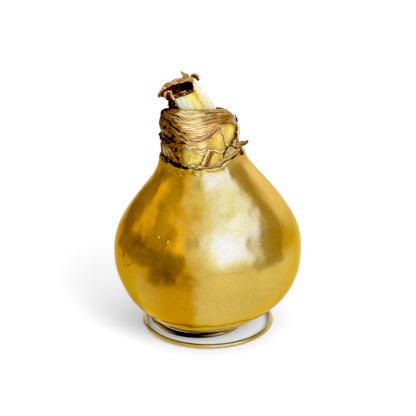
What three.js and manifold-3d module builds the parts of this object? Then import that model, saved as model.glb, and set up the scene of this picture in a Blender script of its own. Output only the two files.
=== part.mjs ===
// A gold-waxed amaryllis bulb that stands on a coiled wire: fleshy bulb, wax coat, dry scales round the
// neck, and the cut and withered leaves that are rooted in the top of the neck.
// Millimetres, +Z up, standing on z = 0. An angle round the bulb is counted from the front (-Y) to +X.
import * as THREE from "three";
import { mergeVertices } from "three/addons/utils/BufferGeometryUtils.js";
import Module from "manifold-3d";

const wasm = await Module();
wasm.setup();

// Walls and clearances
const gap = 0.3; // left between pieces that touch
const waxWall = 1.5;
const scaleWall = 0.6; // a dry scale at its thinnest sound thickness

// Wire stand
const wireRadius = 1.25;
const wireSides = 8;
const wireCorner = wireRadius / Math.cos(Math.PI / wireSides);
const ringRadius = 32.3; // middle of the wire in the outer ring
const coilRadius = 17.3; // where the inner coil starts, under the bulb's base
const bendRadius = 2.5; // of the last turn, and of the bend up into the spike
const spikeHeight = 15; // the wire's end, pushed up into the bulb

// Waxed outline: radius against height, each stretch by a formula
const baseHeight = 2 * wireRadius + gap;
const widestRadius = 47;
const widestHeight = 41;
const bellyDepth = 44;
const bellyCurve = 2.31; // power of the way down in the lower half
const bellyFullness = 0.641;
const neckRadius = 19.4;
const neckHeight = 102;
const shoulderCurve = 2.34; // power of the way up in the upper half
const shoulderHollow = 3.08; // over 1, so that the shoulder runs hollow into the neck
const domeHeight = 12.4;
const domeFullness = 0.25; // under 0.5, so that the top is fuller than an ellipse
const domeRise = 0.82;
const topHeight = neckHeight + domeHeight;

// The neck leans to the left; its top falls to the back and closes in on a point behind the middle
const baseLean = -3.3;
const baseLeanHeight = 30; // the foot's lean fades out below this height
const neckLean = -4.2;
const neckLeanFrom = 72;
const neckLeanTo = 104;
const topLean = -1.4;
const topFrom = 104; // the flat top falls and leans more above this height
const topTo = 113.5;
const dome = 0.6; // share of the neck's radius over which the top draws together
const topLeft = -1.2;
const topBack = 5.5;
const topTilt = 0.2; // fall of the flat top towards the back, in mm a mm

// Wax
const rimHeight = 91.1; // mean height of the wax edge round the neck
const rimRise = 3; // how far the right side stands over that, and the left under it
const lobeHeight = 0.4; // soft upright waves that the wax kept
const stemHoleRadius = 2.2; // in the wax, round the wire

// Cut leaf base
const stub = {
  x: -8.8,
  y: 5,
  lean: -1.8,
  halfWidth: 5.6,
  halfDepth: 2.6,
  taper: 0.04,
  height: 7.4,
  slope: 0.3, // of the cut, which rises to the right
};
const rootDepth = 6; // how deep each leaf is rooted in the neck
const leafFoot = 112.2; // height at which the leaves leave the neck
const mouth = { wide: 13.8, deep: 6.6 }; // half axes of the dry collar's mouth round the leaves

const colours = {
  flesh: 0xcdbb52,
  wax: 0xc9982a,
  steel: 0xa8a49c,
  dryScale: 0xa9762f,
  darkScale: 0x4a2f17,
  paleScale: 0xd8bd7a,
  cutLeaf: 0xe9e3a8,
  deadLeaf: 0x4b2413,
  whiteLeaf: 0xf1efdf,
};

// ---------- small maths ----------

const radians = THREE.MathUtils.degToRad;
const mix = THREE.MathUtils.lerp;
const smooth = (x, from, to) => THREE.MathUtils.smoothstep(x, from, to);
const wave = (angle, count, shift) => Math.sin(radians(count * angle + shift));

// Smooth value at a place between hand-placed [place, value] knots; closed knots repeat after 360 degrees.
function along(knots, place, closed = false) {
  const last = knots.length - 1;
  if (closed) {
    const first = knots[0][0];
    place = first + THREE.MathUtils.euclideanModulo(place - first, 360);
  }
  let k = 0;
  while (k < last - 1 && place > knots[k + 1][0]) k += 1;
  const [from, a] = knots[k];
  const [to, b] = knots[k + 1];
  return mix(a, b, smooth(place, from, to));
}

// ---------- the outline of the waxed bulb ----------

// A point of the outline: height h runs on as an angle over the rounded top.
function outline(h) {
  if (h < widestHeight) {
    const down = (widestHeight - h) / bellyDepth;
    return [widestRadius * (1 - down ** bellyCurve) ** bellyFullness, h];
  }
  if (h < neckHeight) {
    const up = (h - widestHeight) / (neckHeight - widestHeight);
    return [neckRadius + (widestRadius - neckRadius) * (1 - up ** shoulderCurve) ** shoulderHollow, h];
  }
  const turn = Math.min((h - neckHeight) / domeHeight, 1) * (Math.PI / 2);
  const radius = neckRadius * Math.max(Math.cos(turn), 0) ** domeFullness;
  return [radius, neckHeight + domeHeight * Math.sin(turn) ** domeRise];
}

// A point of the bulb at an angle and a height, a given depth under the waxed outline.
function skin(angle, h, depth = 0) {
  const step = 0.05;
  const [r, z] = outline(h);
  const [rUnder, zUnder] = outline(h - step);
  const [rOver, zOver] = outline(Math.min(h + step, topHeight));
  const run = Math.hypot(rOver - rUnder, zOver - zUnder);
  const radius = Math.max(r - (depth * (zOver - zUnder)) / run, 0);
  const lowLean = baseLean * Math.max(1 - z / baseLeanHeight, 0) ** 2;
  const highLean = neckLean * smooth(z, neckLeanFrom, neckLeanTo) + topLean * smooth(z, topFrom, topTo);
  const inward = smooth(1 - r / neckRadius, 0, dome);
  const y = topBack * inward - radius * Math.cos(radians(angle));
  return new THREE.Vector3(
    lowLean + highLean + topLeft * inward + radius * Math.sin(radians(angle)),
    y,
    z + (depth * (rOver - rUnder)) / run - topTilt * Math.max(y, 0) * smooth(z, topFrom, topTo),
  );
}

// How deep the flesh lies under the waxed outline: room for wax on the body and for dry scales on the neck.
function fleshDepth(h) {
  const body = waxWall + gap;
  const underScales = body + scaleWall + gap;
  const shoulder = scaleWall + 4 * gap;
  const hollow = 1.2 * smooth(h, 105, 110); // the scales fold in over the top
  return mix(mix(body, underScales, smooth(h, 74, 84)), shoulder, smooth(h, 95, 104)) + hollow;
}

// ---------- making closed solids ----------

function geometryOf(points, triangles) {
  const geometry = new THREE.BufferGeometry().setFromPoints(points);
  geometry.setIndex(triangles);
  geometry.computeVertexNormals();
  return geometry;
}

// Rings of equal count, stacked from the first pole to the last; closed rings join the last back to the first.
function loft(rings, closed = false) {
  const points = rings.flat();
  const starts = [];
  let count = 0;
  for (const ring of rings) {
    starts.push(count);
    count += ring.length;
  }
  const triangles = [];
  for (let k = 0; k < rings.length - (closed ? 0 : 1); k += 1) {
    const next = (k + 1) % rings.length;
    const low = rings[k].length;
    const high = rings[next].length;
    for (let i = 0; i < Math.max(low, high); i += 1) {
      const a = starts[k] + (i % low);
      const b = starts[k] + ((i + 1) % low);
      const c = starts[next] + ((i + 1) % high);
      const d = starts[next] + (i % high);
      if (low > 1) triangles.push(a, b, c);
      if (high > 1) triangles.push(a, c, d);
    }
  }
  return geometryOf(points, triangles);
}

// A sheet with a face and a back, both split alike, walled along its edges or closed round.
function sheet(face, back, across, up, closed = false) {
  const points = [];
  const wide = closed ? across : across + 1;
  for (const side of [face, back])
    for (let j = 0; j <= up; j += 1)
      for (let i = 0; i < wide; i += 1) points.push(side(i / across, j / up));
  const layer = wide * (up + 1);
  const at = (i, j) => (i % wide) + j * wide;
  const triangles = [];
  const quad = (a, b, c, d) => triangles.push(a, b, c, a, c, d);
  for (let i = 0; i < across; i += 1) {
    for (let j = 0; j < up; j += 1) {
      const [a, b, c, d] = [at(i, j), at(i + 1, j), at(i + 1, j + 1), at(i, j + 1)];
      quad(a, b, c, d);
      triangles.push(layer + a, layer + c, layer + b, layer + a, layer + d, layer + c);
    }
    const [a, b, c, d] = [at(i, 0), at(i + 1, 0), at(i + 1, up), at(i, up)];
    quad(layer + a, layer + b, b, a);
    quad(d, c, layer + c, layer + d);
  }
  for (let j = 0; j < up && !closed; j += 1) {
    const [a, b, c, d] = [at(0, j), at(across, j), at(across, j + 1), at(0, j + 1)];
    quad(a, d, layer + d, layer + a);
    quad(c, b, layer + b, layer + c);
  }
  return geometryOf(points, triangles);
}

// A sheet of even thickness behind a surface given by a function of (u, v).
function leafSheet(surface, wall, across, up) {
  const step = 1e-3;
  const behind = (u, v) => {
    const du = surface(u + step, v).sub(surface(u - step, v));
    const dv = surface(u, v + step).sub(surface(u, v - step));
    return surface(u, v).addScaledVector(du.cross(dv).normalize(), -wall);
  };
  return sheet(surface, behind, across, up);
}

function solidOf(geometry) {
  return new wasm.Manifold(
    new wasm.Mesh({
      numProp: 3,
      vertProperties: new Float32Array(geometry.getAttribute("position").array),
      triVerts: new Uint32Array(geometry.index.array),
    }),
  );
}

function geometryFrom(solid) {
  const mesh = solid.getMesh();
  const geometry = new THREE.BufferGeometry();
  geometry.setAttribute("position", new THREE.BufferAttribute(mesh.vertProperties, 3));
  geometry.setIndex(new THREE.BufferAttribute(mesh.triVerts, 1));
  geometry.computeVertexNormals();
  return geometry;
}

const joined = (...geometries) => geometryFrom(geometries.map(solidOf).reduce((all, next) => all.add(next)));
const cut = (geometry, tools) =>
  geometryFrom(tools.map(solidOf).reduce((left, tool) => left.subtract(tool), solidOf(geometry)));

// ---------- leaves ----------

// The cut leaf base: an oval stem that narrows to an oblique, dished cut.
function leafStub(clear = 0) {
  const sides = 28;
  const ring = (share, z) => {
    const points = [];
    for (let i = 0; i < sides; i += 1) {
      const turn = (i / sides) * 2 * Math.PI;
      const shrink = 1 - stub.taper * share;
      const x = (stub.halfWidth * shrink + clear) * Math.cos(turn);
      const keel = 1 + 0.12 * Math.cos(2 * turn);
      const y = (stub.halfDepth * shrink + clear) * keel * Math.sin(turn);
      points.push(new THREE.Vector3(stub.x + stub.lean * share + x, stub.y + y, z + stub.slope * share * x));
    }
    return points;
  };
  const root = leafFoot - rootDepth - clear;
  const top = leafFoot + stub.height;
  const dish = new THREE.Vector3(stub.x + stub.lean, stub.y, top - 0.9);
  const rings = [[new THREE.Vector3(stub.x, stub.y, root)], ring(0, root), ring(0, leafFoot)];
  for (const share of [0.35, 0.7, 1]) rings.push(ring(share, mix(leafFoot, top, share)));
  return loft([...rings, [dish]]);
}

// A ribbon that faces the front, along a line in the plane of x and z, with its half width from root to tip.
function ribbon({ line, depth, halfWidth, cup = 0 }, wall, across, up, clear = 0) {
  const [root, ...rest] = line.map(([x, z]) => new THREE.Vector3(x, 0, z));
  root.z -= clear;
  const curve = new THREE.CatmullRomCurve3([root, ...rest]);
  const surface = (u, v) => {
    const share = THREE.MathUtils.clamp(v, 0, 1);
    const point = curve.getPointAt(share);
    const ahead = curve.getTangentAt(share);
    const side = (2 * u - 1) * (along(halfWidth, v) + clear);
    point.addScaledVector(ahead, v - share);
    point.x += side * ahead.z;
    point.z -= side * ahead.x;
    point.y = along(depth, v) - clear + cup * u ** 2 * (1 - v);
    return point;
  };
  return leafSheet(surface, wall + 2 * clear, across, up);
}

const blade = {
  line: [
    [-2, leafFoot - rootDepth], [-2, 111.5], [-3.2, 118], [-5.6, 123],
    [-7.2, 125.2], [-7.3, 127.1], [-5.9, 128.2], [-4.5, 127.5], [-4.3, 126.3], // the hooked tip
  ],
  depth: [[0, 8.7], [0.5, 8.6], [1, 8.4]],
  halfWidth: [[0, 5.8], [0.19, 6], [0.44, 3.5], [0.66, 2.1], [0.8, 0.75], [0.9, 0.6], [1, 0.5]],
  cup: -2.2, // its right edge bends forwards
};

const stalk = {
  line: [[-16.2, leafFoot - rootDepth], [-16.3, 112], [-17.3, 118], [-18.2, 121]],
  depth: [[0, 4.7], [0.3, 4.5], [0.6, 3.4], [1, 2.4]],
  halfWidth: [[0, 1.2], [0.6, 1.3], [1, 2.2]],
};

const horn = {
  line: [[-11.2, 127.2], [-9.7, 129.2], [-9.9, 130.8], [-12.8, 132]],
  depth: [[0, 3], [1, 2.6]],
  halfWidth: [[0, 1.5], [0.45, 1.1], [1, 0.35]],
};

// The withered leaf's hood: a crumpled trough that lies over the cut leaf and opens to the front.
function hood() {
  const wall = 0.7;
  const middle = [[-24.2, 119.9], [-21.2, 122.3], [-15.3, 123.6], [-10.5, 125.1], [-7.3, 125.4]];
  const reach = [[-24.2, 1.2], [-21.2, 3.1], [-15.3, 4.2], [-10.5, 3.8], [-7.3, 2.5]];
  const surface = (u, v) => {
    const x = mix(-24.2, -7.3, v);
    const turn = mix(342, 28, u);
    const crease = 0.3 * wave(turn, 5, 9 * x) + 0.25 * wave(x, 80, 2 * turn);
    const radius = along(reach, x) + crease * smooth(v, 0, 0.2);
    const y = 3.4 - radius * Math.cos(radians(turn));
    return new THREE.Vector3(x, y, along(middle, x) + radius * Math.sin(radians(turn)));
  };
  return leafSheet(surface, wall, 16, 13);
}

const bladeWall = 1.1;
const stalkWall = 0.9;

const leafBlade = (clear = 0) => ribbon(blade, bladeWall, 4, 22, clear);
const leafStalk = (clear = 0) => ribbon(stalk, stalkWall, 2, 12, clear);
const witheredLeaf = () => joined(hood(), leafStalk(), ribbon(horn, 0.8, 3, 10));

// ---------- bulb, wax and wire ----------

const ringAt = (sides, point) => Array.from({ length: sides }, (_, i) => point((i / sides) * 360));

// The flesh, one piece from the flat base to the closed top, with plain holes for the wire and the leaves.
function fleshyBulb() {
  const sides = 44;
  const body = [3, 5, 8, 12, 17, 24, 31, 38, 45, 52, 59, 66, 72, 77, 82, 86, 90, 94, 98, 101.9];
  const heights = [...body, 104, 106.5, 109, 110.8, 112.2, 113.3];
  const rings = heights.map((h) => ringAt(sides, (angle) => skin(angle, h, fleshDepth(h))));
  const foot = rings[0][0].z;
  const crown = skin(0, topHeight, fleshDepth(topHeight));
  const flesh = loft([[new THREE.Vector3(baseLean, 0, foot)], ...rings, [crown]]);
  const holeRadius = wireCorner + gap;
  const wireHole = welded(new THREE.CylinderGeometry(holeRadius, holeRadius, spikeHeight + gap, 16));
  const { x, y } = route.spike();
  wireHole.rotateX(Math.PI / 2).translate(x, y, (spikeHeight + gap) / 2);
  return cut(flesh, [wireHole, leafStub(gap), leafBlade(gap), leafStalk(gap)]);
}

// The same geometry with its shared corners merged, so that it is one closed surface.
function welded(geometry) {
  geometry.deleteAttribute("normal");
  geometry.deleteAttribute("uv");
  return mergeVertices(geometry, 1e-3);
}

// Height of the ragged wax edge round the neck: low on the left, high on the right.
function waxEdge(angle) {
  const sway = rimRise * Math.tanh(5 * Math.sin(radians(angle - 12)));
  const ragged = 0.35 * wave(angle, 7, 40) + 0.25 * wave(angle, 13, 10) + 0.15 * wave(angle, 22, 80);
  return rimHeight + sway + ragged;
}

// The wax follows the bulb in soft upright waves, strongest at the widest part.
function waxLobes(angle, h) {
  const strength = lobeHeight * smooth(h, 5, 35) * (1 - smooth(h, 60, 84));
  return strength * (0.6 * wave(angle, 5, 2 * h) + 0.4 * wave(angle, 8, 70 - h));
}

function waxCoat() {
  const sides = 60;
  const outerRows = 20;
  const innerRows = 16;
  const lip = 0.5; // the wax edge is rounded and a little thicker
  const floor = baseHeight + waxWall;
  const { x, y } = route.spike();
  const hole = (z) => ringAt(sides, (angle) => {
    const turn = radians(angle);
    return new THREE.Vector3(x + stemHoleRadius * Math.sin(turn), y - stemHoleRadius * Math.cos(turn), z);
  });
  const rowHeight = (from, angle, share) => mix(from, waxEdge(angle), share ** 1.15);
  const rings = [hole(baseHeight)];
  for (let row = 0; row <= outerRows; row += 1) {
    rings.push(ringAt(sides, (angle) => {
      const h = rowHeight(baseHeight, angle, row / outerRows);
      const swell = lip * smooth(row, outerRows - 3, outerRows - 1) * (row < outerRows ? 1 : 0.5);
      return skin(angle, h, -waxLobes(angle, h) - swell);
    }));
  }
  for (let row = innerRows; row >= 0; row -= 1) {
    rings.push(ringAt(sides, (angle) => skin(angle, rowHeight(3, angle, row / innerRows), waxWall)));
  }
  rings.push(hole(floor));
  return loft(rings, true);
}

// The wire's middle line: an outer ring, an inner coil under the bulb and a spike up into it. A turn is
// counted from +X towards +Y.
class WireRoute extends THREE.Curve {
  constructor() {
    super();
    this.arcLengthDivisions = 2000;
    this.start = 160;
    this.ringEnd = 452; // here the wire turns inwards, to pass inside its own start
    this.coilStart = 780;
    this.coilEnd = 1215;
    this.bendShare = 0.965;
    this.riseShare = 0.975;
  }

  radius(turn) {
    const inward = (ringRadius - coilRadius) * smooth(turn, this.ringEnd, this.ringEnd + 248);
    const coiled = Math.max(turn - this.coilStart, 0) / (this.coilEnd - this.coilStart);
    return ringRadius - inward - (coilRadius - bendRadius) * coiled ** 1.3;
  }

  // Where the spike stands: one bend on from the last turn.
  spike() {
    const turn = radians(this.coilEnd);
    return new THREE.Vector3(Math.cos(turn) - Math.sin(turn), Math.sin(turn) + Math.cos(turn), 0)
      .multiplyScalar(bendRadius);
  }

  getPoint(share, target = new THREE.Vector3()) {
    const turn = mix(this.start, this.coilEnd, Math.min(share / this.bendShare, 1));
    const radius = this.radius(turn);
    target.set(radius * Math.cos(radians(turn)), radius * Math.sin(radians(turn)), wireRadius);
    if (share <= this.bendShare) return target;
    const bend = Math.min((share - this.bendShare) / (this.riseShare - this.bendShare), 1) * (Math.PI / 2);
    target.lerp(this.spike().setZ(wireRadius), Math.sin(bend));
    target.z += bendRadius * (1 - Math.cos(bend));
    const rise = Math.max(share - this.riseShare, 0) / (1 - this.riseShare);
    target.z = mix(target.z, spikeHeight, rise);
    return target;
  }
}

const route = new WireRoute();

function wireStand() {
  const section = new THREE.Shape(
    Array.from({ length: wireSides }, (_, i) => {
      const turn = ((i + 0.5) / wireSides) * 2 * Math.PI;
      return new THREE.Vector2(wireCorner * Math.cos(turn), wireCorner * Math.sin(turn));
    }),
  );
  const tube = new THREE.ExtrudeGeometry(section, { steps: 112, bevelEnabled: false, extrudePath: route });
  return welded(tube);
}

// ---------- dry scales on the neck ----------

// A scale that follows the neck between two edges given as [angle, height] knots.
function neckScale({ from, to, low, high, depth, wall = scaleWall, relief }, across, up) {
  const closed = to - from === 360;
  const place = (u, v, inner) => {
    const angle = mix(from, to, u);
    const h = mix(low(angle), high(angle), v);
    const swell = relief(angle, h);
    return skin(angle, h, depth(angle, h, v) - swell + (inner ? wall : 0));
  };
  return sheet((u, v) => place(u, v, false), (u, v) => place(u, v, true), across, up, closed);
}

const collarLow = [
  [-180, 97], [-152, 98.5], [-137, 106.6], [-64, 106.9], [-38, 102], [-22, 100.4], [-11, 98.2], [6, 98],
  [14, 102.4], [22, 105], [36, 106.6], [62, 106.2], [76, 104.6], [92, 101], [110, 97.5], [140, 96], [180, 97],
];

// Height on the rounded top where the collar's oval mouth runs.
function mouthHeight(angle) {
  const turn = radians(angle);
  const { wide, deep } = mouth;
  const radius = (wide * deep) / Math.hypot(deep * Math.sin(turn), wide * Math.cos(turn));
  return neckHeight + domeHeight * (Math.acos((radius / neckRadius) ** (1 / domeFullness)) / (Math.PI / 2));
}

// Ragged lower edge of the collar; the left scale runs up to it.
const collarEdge = (angle) => along(collarLow, angle, true) + 0.35 * wave(angle, 17, 30);

// The upper collar: wrinkled skin that wraps the neck and folds in round the leaves.
function tunicCollar() {
  const depth = (angle, h) => mix(scaleWall + gap, gap, smooth(h, 98, 104));
  const relief = (angle, h) => 0.15 * Math.sin(1.2 * h + 1.3 * wave(angle, 1, 30)) * smooth(h, 106, 109);
  return neckScale({ from: -180, to: 180, low: collarEdge, high: mouthHeight, depth, relief }, 60, 11);
}

// The dark scale on the left, in upright folds, between the wax edge and the collar.
function tunicLeft() {
  const low = (angle) => 90 + 0.5 * wave(angle, 11, 0);
  const high = (angle) => collarEdge(angle) - gap;
  const depth = () => 0.4;
  const relief = (angle, h) => 0.2 * wave(angle, 11, 16 * h);
  return neckScale({ from: -138, to: -30, low, high, depth, relief }, 18, 10);
}

// The lower tunic that shows over the wax edge from the front round the right and the back.
function tunicRim() {
  const top = [
    [7, 92], [20, 94.2], [48, 95.4], [66, 96.4], [78, 98.6], [90, 97.4], [108, 95], [170, 95.6], [221, 94.8],
  ];
  const low = (angle) => 89.2 + 1.5 * smooth(angle, 0, 40);
  const high = (angle) => along(top, angle) + 0.35 * wave(angle, 15, 0) + 0.25 * wave(angle, 31, 50);
  const flare = (angle, v) => 6 * smooth(v, 0.7, 1) * smooth(angle, 66, 78) * (1 - smooth(angle, 88, 100));
  const depth = (angle, h, v) => fleshDepth(h) - scaleWall - gap - flare(angle, v);
  const relief = () => 0;
  return neckScale({ from: 7, to: 221, low, high, depth, relief }, 50, 4);
}

// A narrow tongue that runs slantwise from under the collar down to the wax edge.
function tunicStrip() {
  const place = (u, v, inner) => {
    const angle = mix(-9, 6, v) + mix(0, 10, u);
    const h = mix(91.4, 97.2, v) + mix(0.6, -0.6, u);
    const fold = 0.25 * Math.sin(u * Math.PI);
    return skin(angle, h, fleshDepth(h) - gap - scaleWall - fold + (inner ? scaleWall : 0));
  };
  return sheet((u, v) => place(u, v, false), (u, v) => place(u, v, true), 4, 8);
}

// The pale flap on the right, torn loose and curled up along its edge.
function tunicFlap() {
  const low = () => 97.4;
  const top = [[52, 100.6], [72, 103.6], [83, 101.6]];
  const high = (angle) => along(top, angle);
  const depth = (angle, h) => fleshDepth(h) - scaleWall - gap - 1.1 * smooth(angle, 66, 82);
  const relief = () => 0;
  return neckScale({ from: 52, to: 83, low, high, depth, relief }, 10, 6);
}

// ---------- the part ----------

const part = new THREE.Group();

function add(name, geometry, color, roughness, metalness = 0) {
  const mesh = new THREE.Mesh(geometry, new THREE.MeshStandardMaterial({ color, roughness, metalness }));
  mesh.name = name;
  part.add(mesh);
}

add("bulb", fleshyBulb(), colours.flesh, 0.45);
add("wax_coat", waxCoat(), colours.wax, 0.3, 1);
add("wire_stand", wireStand(), colours.steel, 0.25, 1);
add("tunic_collar", tunicCollar(), colours.dryScale, 0.6);
add("tunic_left", tunicLeft(), colours.darkScale, 0.65);
add("tunic_rim", tunicRim(), colours.dryScale, 0.6);
add("tunic_strip", tunicStrip(), colours.paleScale, 0.6);
add("tunic_flap", tunicFlap(), colours.paleScale, 0.5);
add("leaf_stub", leafStub(), colours.cutLeaf, 0.4);
add("withered_leaf", witheredLeaf(), colours.deadLeaf, 0.6);
add("leaf_blade", leafBlade(), colours.whiteLeaf, 0.5);

export default part;
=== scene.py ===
import math

import bpy
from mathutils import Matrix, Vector, noise


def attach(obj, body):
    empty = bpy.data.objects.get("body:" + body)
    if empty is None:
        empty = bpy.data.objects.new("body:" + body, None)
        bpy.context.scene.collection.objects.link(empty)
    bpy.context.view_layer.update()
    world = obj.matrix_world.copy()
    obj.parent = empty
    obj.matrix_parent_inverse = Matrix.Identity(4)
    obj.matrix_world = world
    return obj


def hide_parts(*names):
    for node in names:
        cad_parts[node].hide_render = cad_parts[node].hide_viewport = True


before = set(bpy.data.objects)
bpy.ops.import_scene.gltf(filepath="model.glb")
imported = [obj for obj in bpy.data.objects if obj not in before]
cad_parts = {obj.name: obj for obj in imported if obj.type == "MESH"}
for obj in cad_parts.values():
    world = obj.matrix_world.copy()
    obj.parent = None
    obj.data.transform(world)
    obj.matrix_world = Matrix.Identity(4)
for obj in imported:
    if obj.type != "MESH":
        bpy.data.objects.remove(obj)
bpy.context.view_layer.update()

# Shapes are worked out in millimetres and turned into metres once, where a vertex is placed.
# An angle round the bulb is counted in degrees from the front (-Y) towards +X.

bulbShape = {
    "widestRadius": 47, "widestHeight": 41, "bellyDepth": 44, "bellyCurve": 2.31, "bellyFullness": 0.641,
    "neckRadius": 19.4, "neckHeight": 102, "shoulderCurve": 2.34, "shoulderHollow": 3.08, "domeHeight": 12.4,
    "domeFullness": 0.25, "domeRise": 0.82, "topLeft": -1.2, "topBack": 5.5, "topTilt": 0.2,
    "baseLean": -3.3, "straightFrom": 30, "neckLean": -4.2, "neckBend": (72, 104), "topLean": -1.4,
    "topBend": (104, 113.5), "baseHeight": 2.8, "gap": 0.3, "waxWall": 1.5, "scaleWall": 0.6,
    # heights between which the flesh steps in: under the scales, at the neck, at the crown
    "scaleStep": (74, 84), "neckStep": (95, 104), "crownStep": (105, 110), "crownDepth": 1.2,
}
topHeight = bulbShape["neckHeight"] + bulbShape["domeHeight"]


def mix(a, b, share):
    return a + (b - a) * share


def clamp(x, low=0.0, high=1.0):
    return min(max(x, low), high)


def smooth(x, start, end):
    t = clamp((x - start) / (end - start))
    return t * t * (3 - 2 * t)


def wave(angle, count, shift=0):
    return math.sin(math.radians(count * angle + shift))


def along(knots, place):
    k = 0
    while k < len(knots) - 2 and place > knots[k + 1][0]:
        k += 1
    (start, a), (end, b) = knots[k], knots[k + 1]
    return mix(a, b, smooth(place, start, end))


def aroundKnots(knots, angle):
    first = knots[0][0]
    return along(knots, first + (angle - first) % 360)


def hump(x, middle, reach):
    return math.exp(-(((x - middle) / reach) ** 2))


def nearness(angle, middle, reach):
    away = (angle - middle + 180) % 360 - 180
    return math.exp(-((away / reach) ** 2))


def rough(x, y, z, octaves=3):
    return noise.fractal(Vector((x, y, z)), 0.8, 2.1, octaves)


def roughAt(p, across, up, octaves=3):
    return rough(p.x * across, p.y * across, p.z * up, octaves)


def patch(angle, h, middle, level, wide, tall):
    return nearness(angle, middle, wide) * hump(h, level, tall)


# Soft patches round the bulb: the angle, height, half width, half height and strength of each.
def patchSum(angle, h, patches):
    return sum(strength * patch(angle, h, *spot) for *spot, strength in patches)


def outline(h):
    s = bulbShape
    if h < s["widestHeight"]:
        down = (s["widestHeight"] - h) / s["bellyDepth"]
        return s["widestRadius"] * (1 - down ** s["bellyCurve"]) ** s["bellyFullness"], h
    if h < s["neckHeight"]:
        up = (h - s["widestHeight"]) / (s["neckHeight"] - s["widestHeight"])
        swell = (s["widestRadius"] - s["neckRadius"]) * (1 - up ** s["shoulderCurve"]) ** s["shoulderHollow"]
        return s["neckRadius"] + swell, h
    turn = min((h - s["neckHeight"]) / s["domeHeight"], 1) * math.pi / 2
    radius = s["neckRadius"] * max(math.cos(turn), 0) ** s["domeFullness"]
    return radius, s["neckHeight"] + s["domeHeight"] * max(math.sin(turn), 0) ** s["domeRise"]


def skin(angle, h, depth=0.0):
    s = bulbShape
    r, z = outline(h)
    rUnder, zUnder = outline(h - 0.05)
    rOver, zOver = outline(min(h + 0.05, topHeight))
    run = math.hypot(rOver - rUnder, zOver - zUnder)
    radius = max(r - depth * (zOver - zUnder) / run, 0)
    lean = s["baseLean"] * max(1 - z / s["straightFrom"], 0) ** 2
    lean += s["neckLean"] * smooth(z, *s["neckBend"]) + s["topLean"] * smooth(z, *s["topBend"])
    inward = smooth(1 - r / s["neckRadius"], 0, 0.6)
    x = lean + s["topLeft"] * inward + radius * math.sin(math.radians(angle))
    y = s["topBack"] * inward - radius * math.cos(math.radians(angle))
    fall = s["topTilt"] * max(y, 0) * smooth(z, *s["topBend"])
    return Vector((x, y, z + depth * (rOver - rUnder) / run - fall))


def fleshDepth(h):
    s = bulbShape
    body = s["waxWall"] + s["gap"]
    underScales = body + s["scaleWall"] + s["gap"]
    shoulder = s["scaleWall"] + 4 * s["gap"]
    share = mix(mix(body, underScales, smooth(h, *s["scaleStep"])), shoulder, smooth(h, *s["neckStep"]))
    return share + s["crownDepth"] * smooth(h, *s["crownStep"])


# Moves each vertex of a primitive to place(u, v), which also gives the marks that the finish reads.
def moulded(name, shareOf, place):
    piece = bpy.context.object
    piece.name = name
    piece.data.name = name
    marks = {}
    for vertex in piece.data.vertices:
        point, said = place(*shareOf(vertex.co))
        vertex.co = Vector(point) / 1000
        for word, value in said.items():
            marks.setdefault(word, []).append(value)
    for word, values in marks.items():
        layer = piece.data.attributes.new(word, "FLOAT", "POINT")
        layer.data.foreach_set("value", values)
    piece.data.update()
    return piece


def closed(piece):
    bpy.ops.object.mode_set(mode="EDIT")
    bpy.ops.mesh.select_all(action="SELECT")
    bpy.ops.mesh.normals_make_consistent(inside=False)
    bpy.ops.object.mode_set(mode="OBJECT")
    bpy.ops.object.shade_smooth()
    return piece


# The grid of a ring, whose section is closed too, gives its columns, outer rows and inner rows: u runs round
# the bulb, v up the outside and down the inside.
def mouldedRing(name, grid, place):
    columns, rows = grid[0], grid[1] + grid[2]
    bpy.ops.mesh.primitive_torus_add(
        major_radius=2, minor_radius=1, major_segments=columns, minor_segments=rows)

    def shareOf(co):
        u = math.atan2(co.y, co.x) / math.tau % 1
        v = math.atan2(co.z, math.hypot(co.x, co.y) - 2) / math.tau % 1
        return round(u * columns) % columns / columns, round(v * rows) % rows / rows

    return closed(moulded(name, shareOf, place))


# A closed lump: u runs round it, v from its lower pole to its upper pole.
def mouldedBall(name, grid, place):
    bpy.ops.mesh.primitive_uv_sphere_add(segments=grid[0], ring_count=grid[1], radius=1)

    def shareOf(co):
        return math.atan2(co.y, co.x) / math.tau % 1, math.acos(clamp(-co.z, -1, 1)) / math.pi

    return closed(moulded(name, shareOf, place))


# A thin sheet (columns, rows, wall): u runs across and v up its face; its wall is added behind the face.
def mouldedSheet(name, grid, place):
    bpy.ops.mesh.primitive_grid_add(x_subdivisions=grid[0], y_subdivisions=grid[1], size=1)
    piece = moulded(name, lambda co: (co.x + 0.5, co.y + 0.5), place)
    addModifier(piece, "SOLIDIFY", thickness=grid[2] / 1000, offset=-1)
    bpy.ops.object.shade_smooth()
    return piece


def addModifier(piece, kind, **settings):
    modifier = piece.modifiers.new(kind.lower(), kind)
    for key, value in settings.items():
        setattr(modifier, key, value)
    bpy.context.view_layer.objects.active = piece
    bpy.ops.object.modifier_apply(modifier=modifier.name)


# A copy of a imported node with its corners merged, to be refined.
def refinedCopy(node, name, levels):
    bpy.ops.object.select_all(action="DESELECT")
    piece = bpy.data.objects.new(name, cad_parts[node].data.copy())
    bpy.context.scene.collection.objects.link(piece)
    bpy.context.view_layer.objects.active = piece
    piece.select_set(True)
    piece.data.materials.clear()
    bpy.ops.object.mode_set(mode="EDIT")
    bpy.ops.mesh.select_all(action="SELECT")
    bpy.ops.mesh.remove_doubles(threshold=0.00001)
    bpy.ops.mesh.tris_convert_to_quads()
    bpy.ops.object.mode_set(mode="OBJECT")
    addModifier(piece, "SUBSURF", levels=levels, render_levels=levels)
    bpy.ops.object.shade_smooth()
    return piece


def finished(piece, finish, slot, *nodes):
    piece.data.materials.clear()
    piece.data.materials.append(finish)
    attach(piece, "root")
    if nodes:
        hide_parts(*nodes)
    print("made", piece.name, len(piece.data.polygons), "faces")


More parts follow.
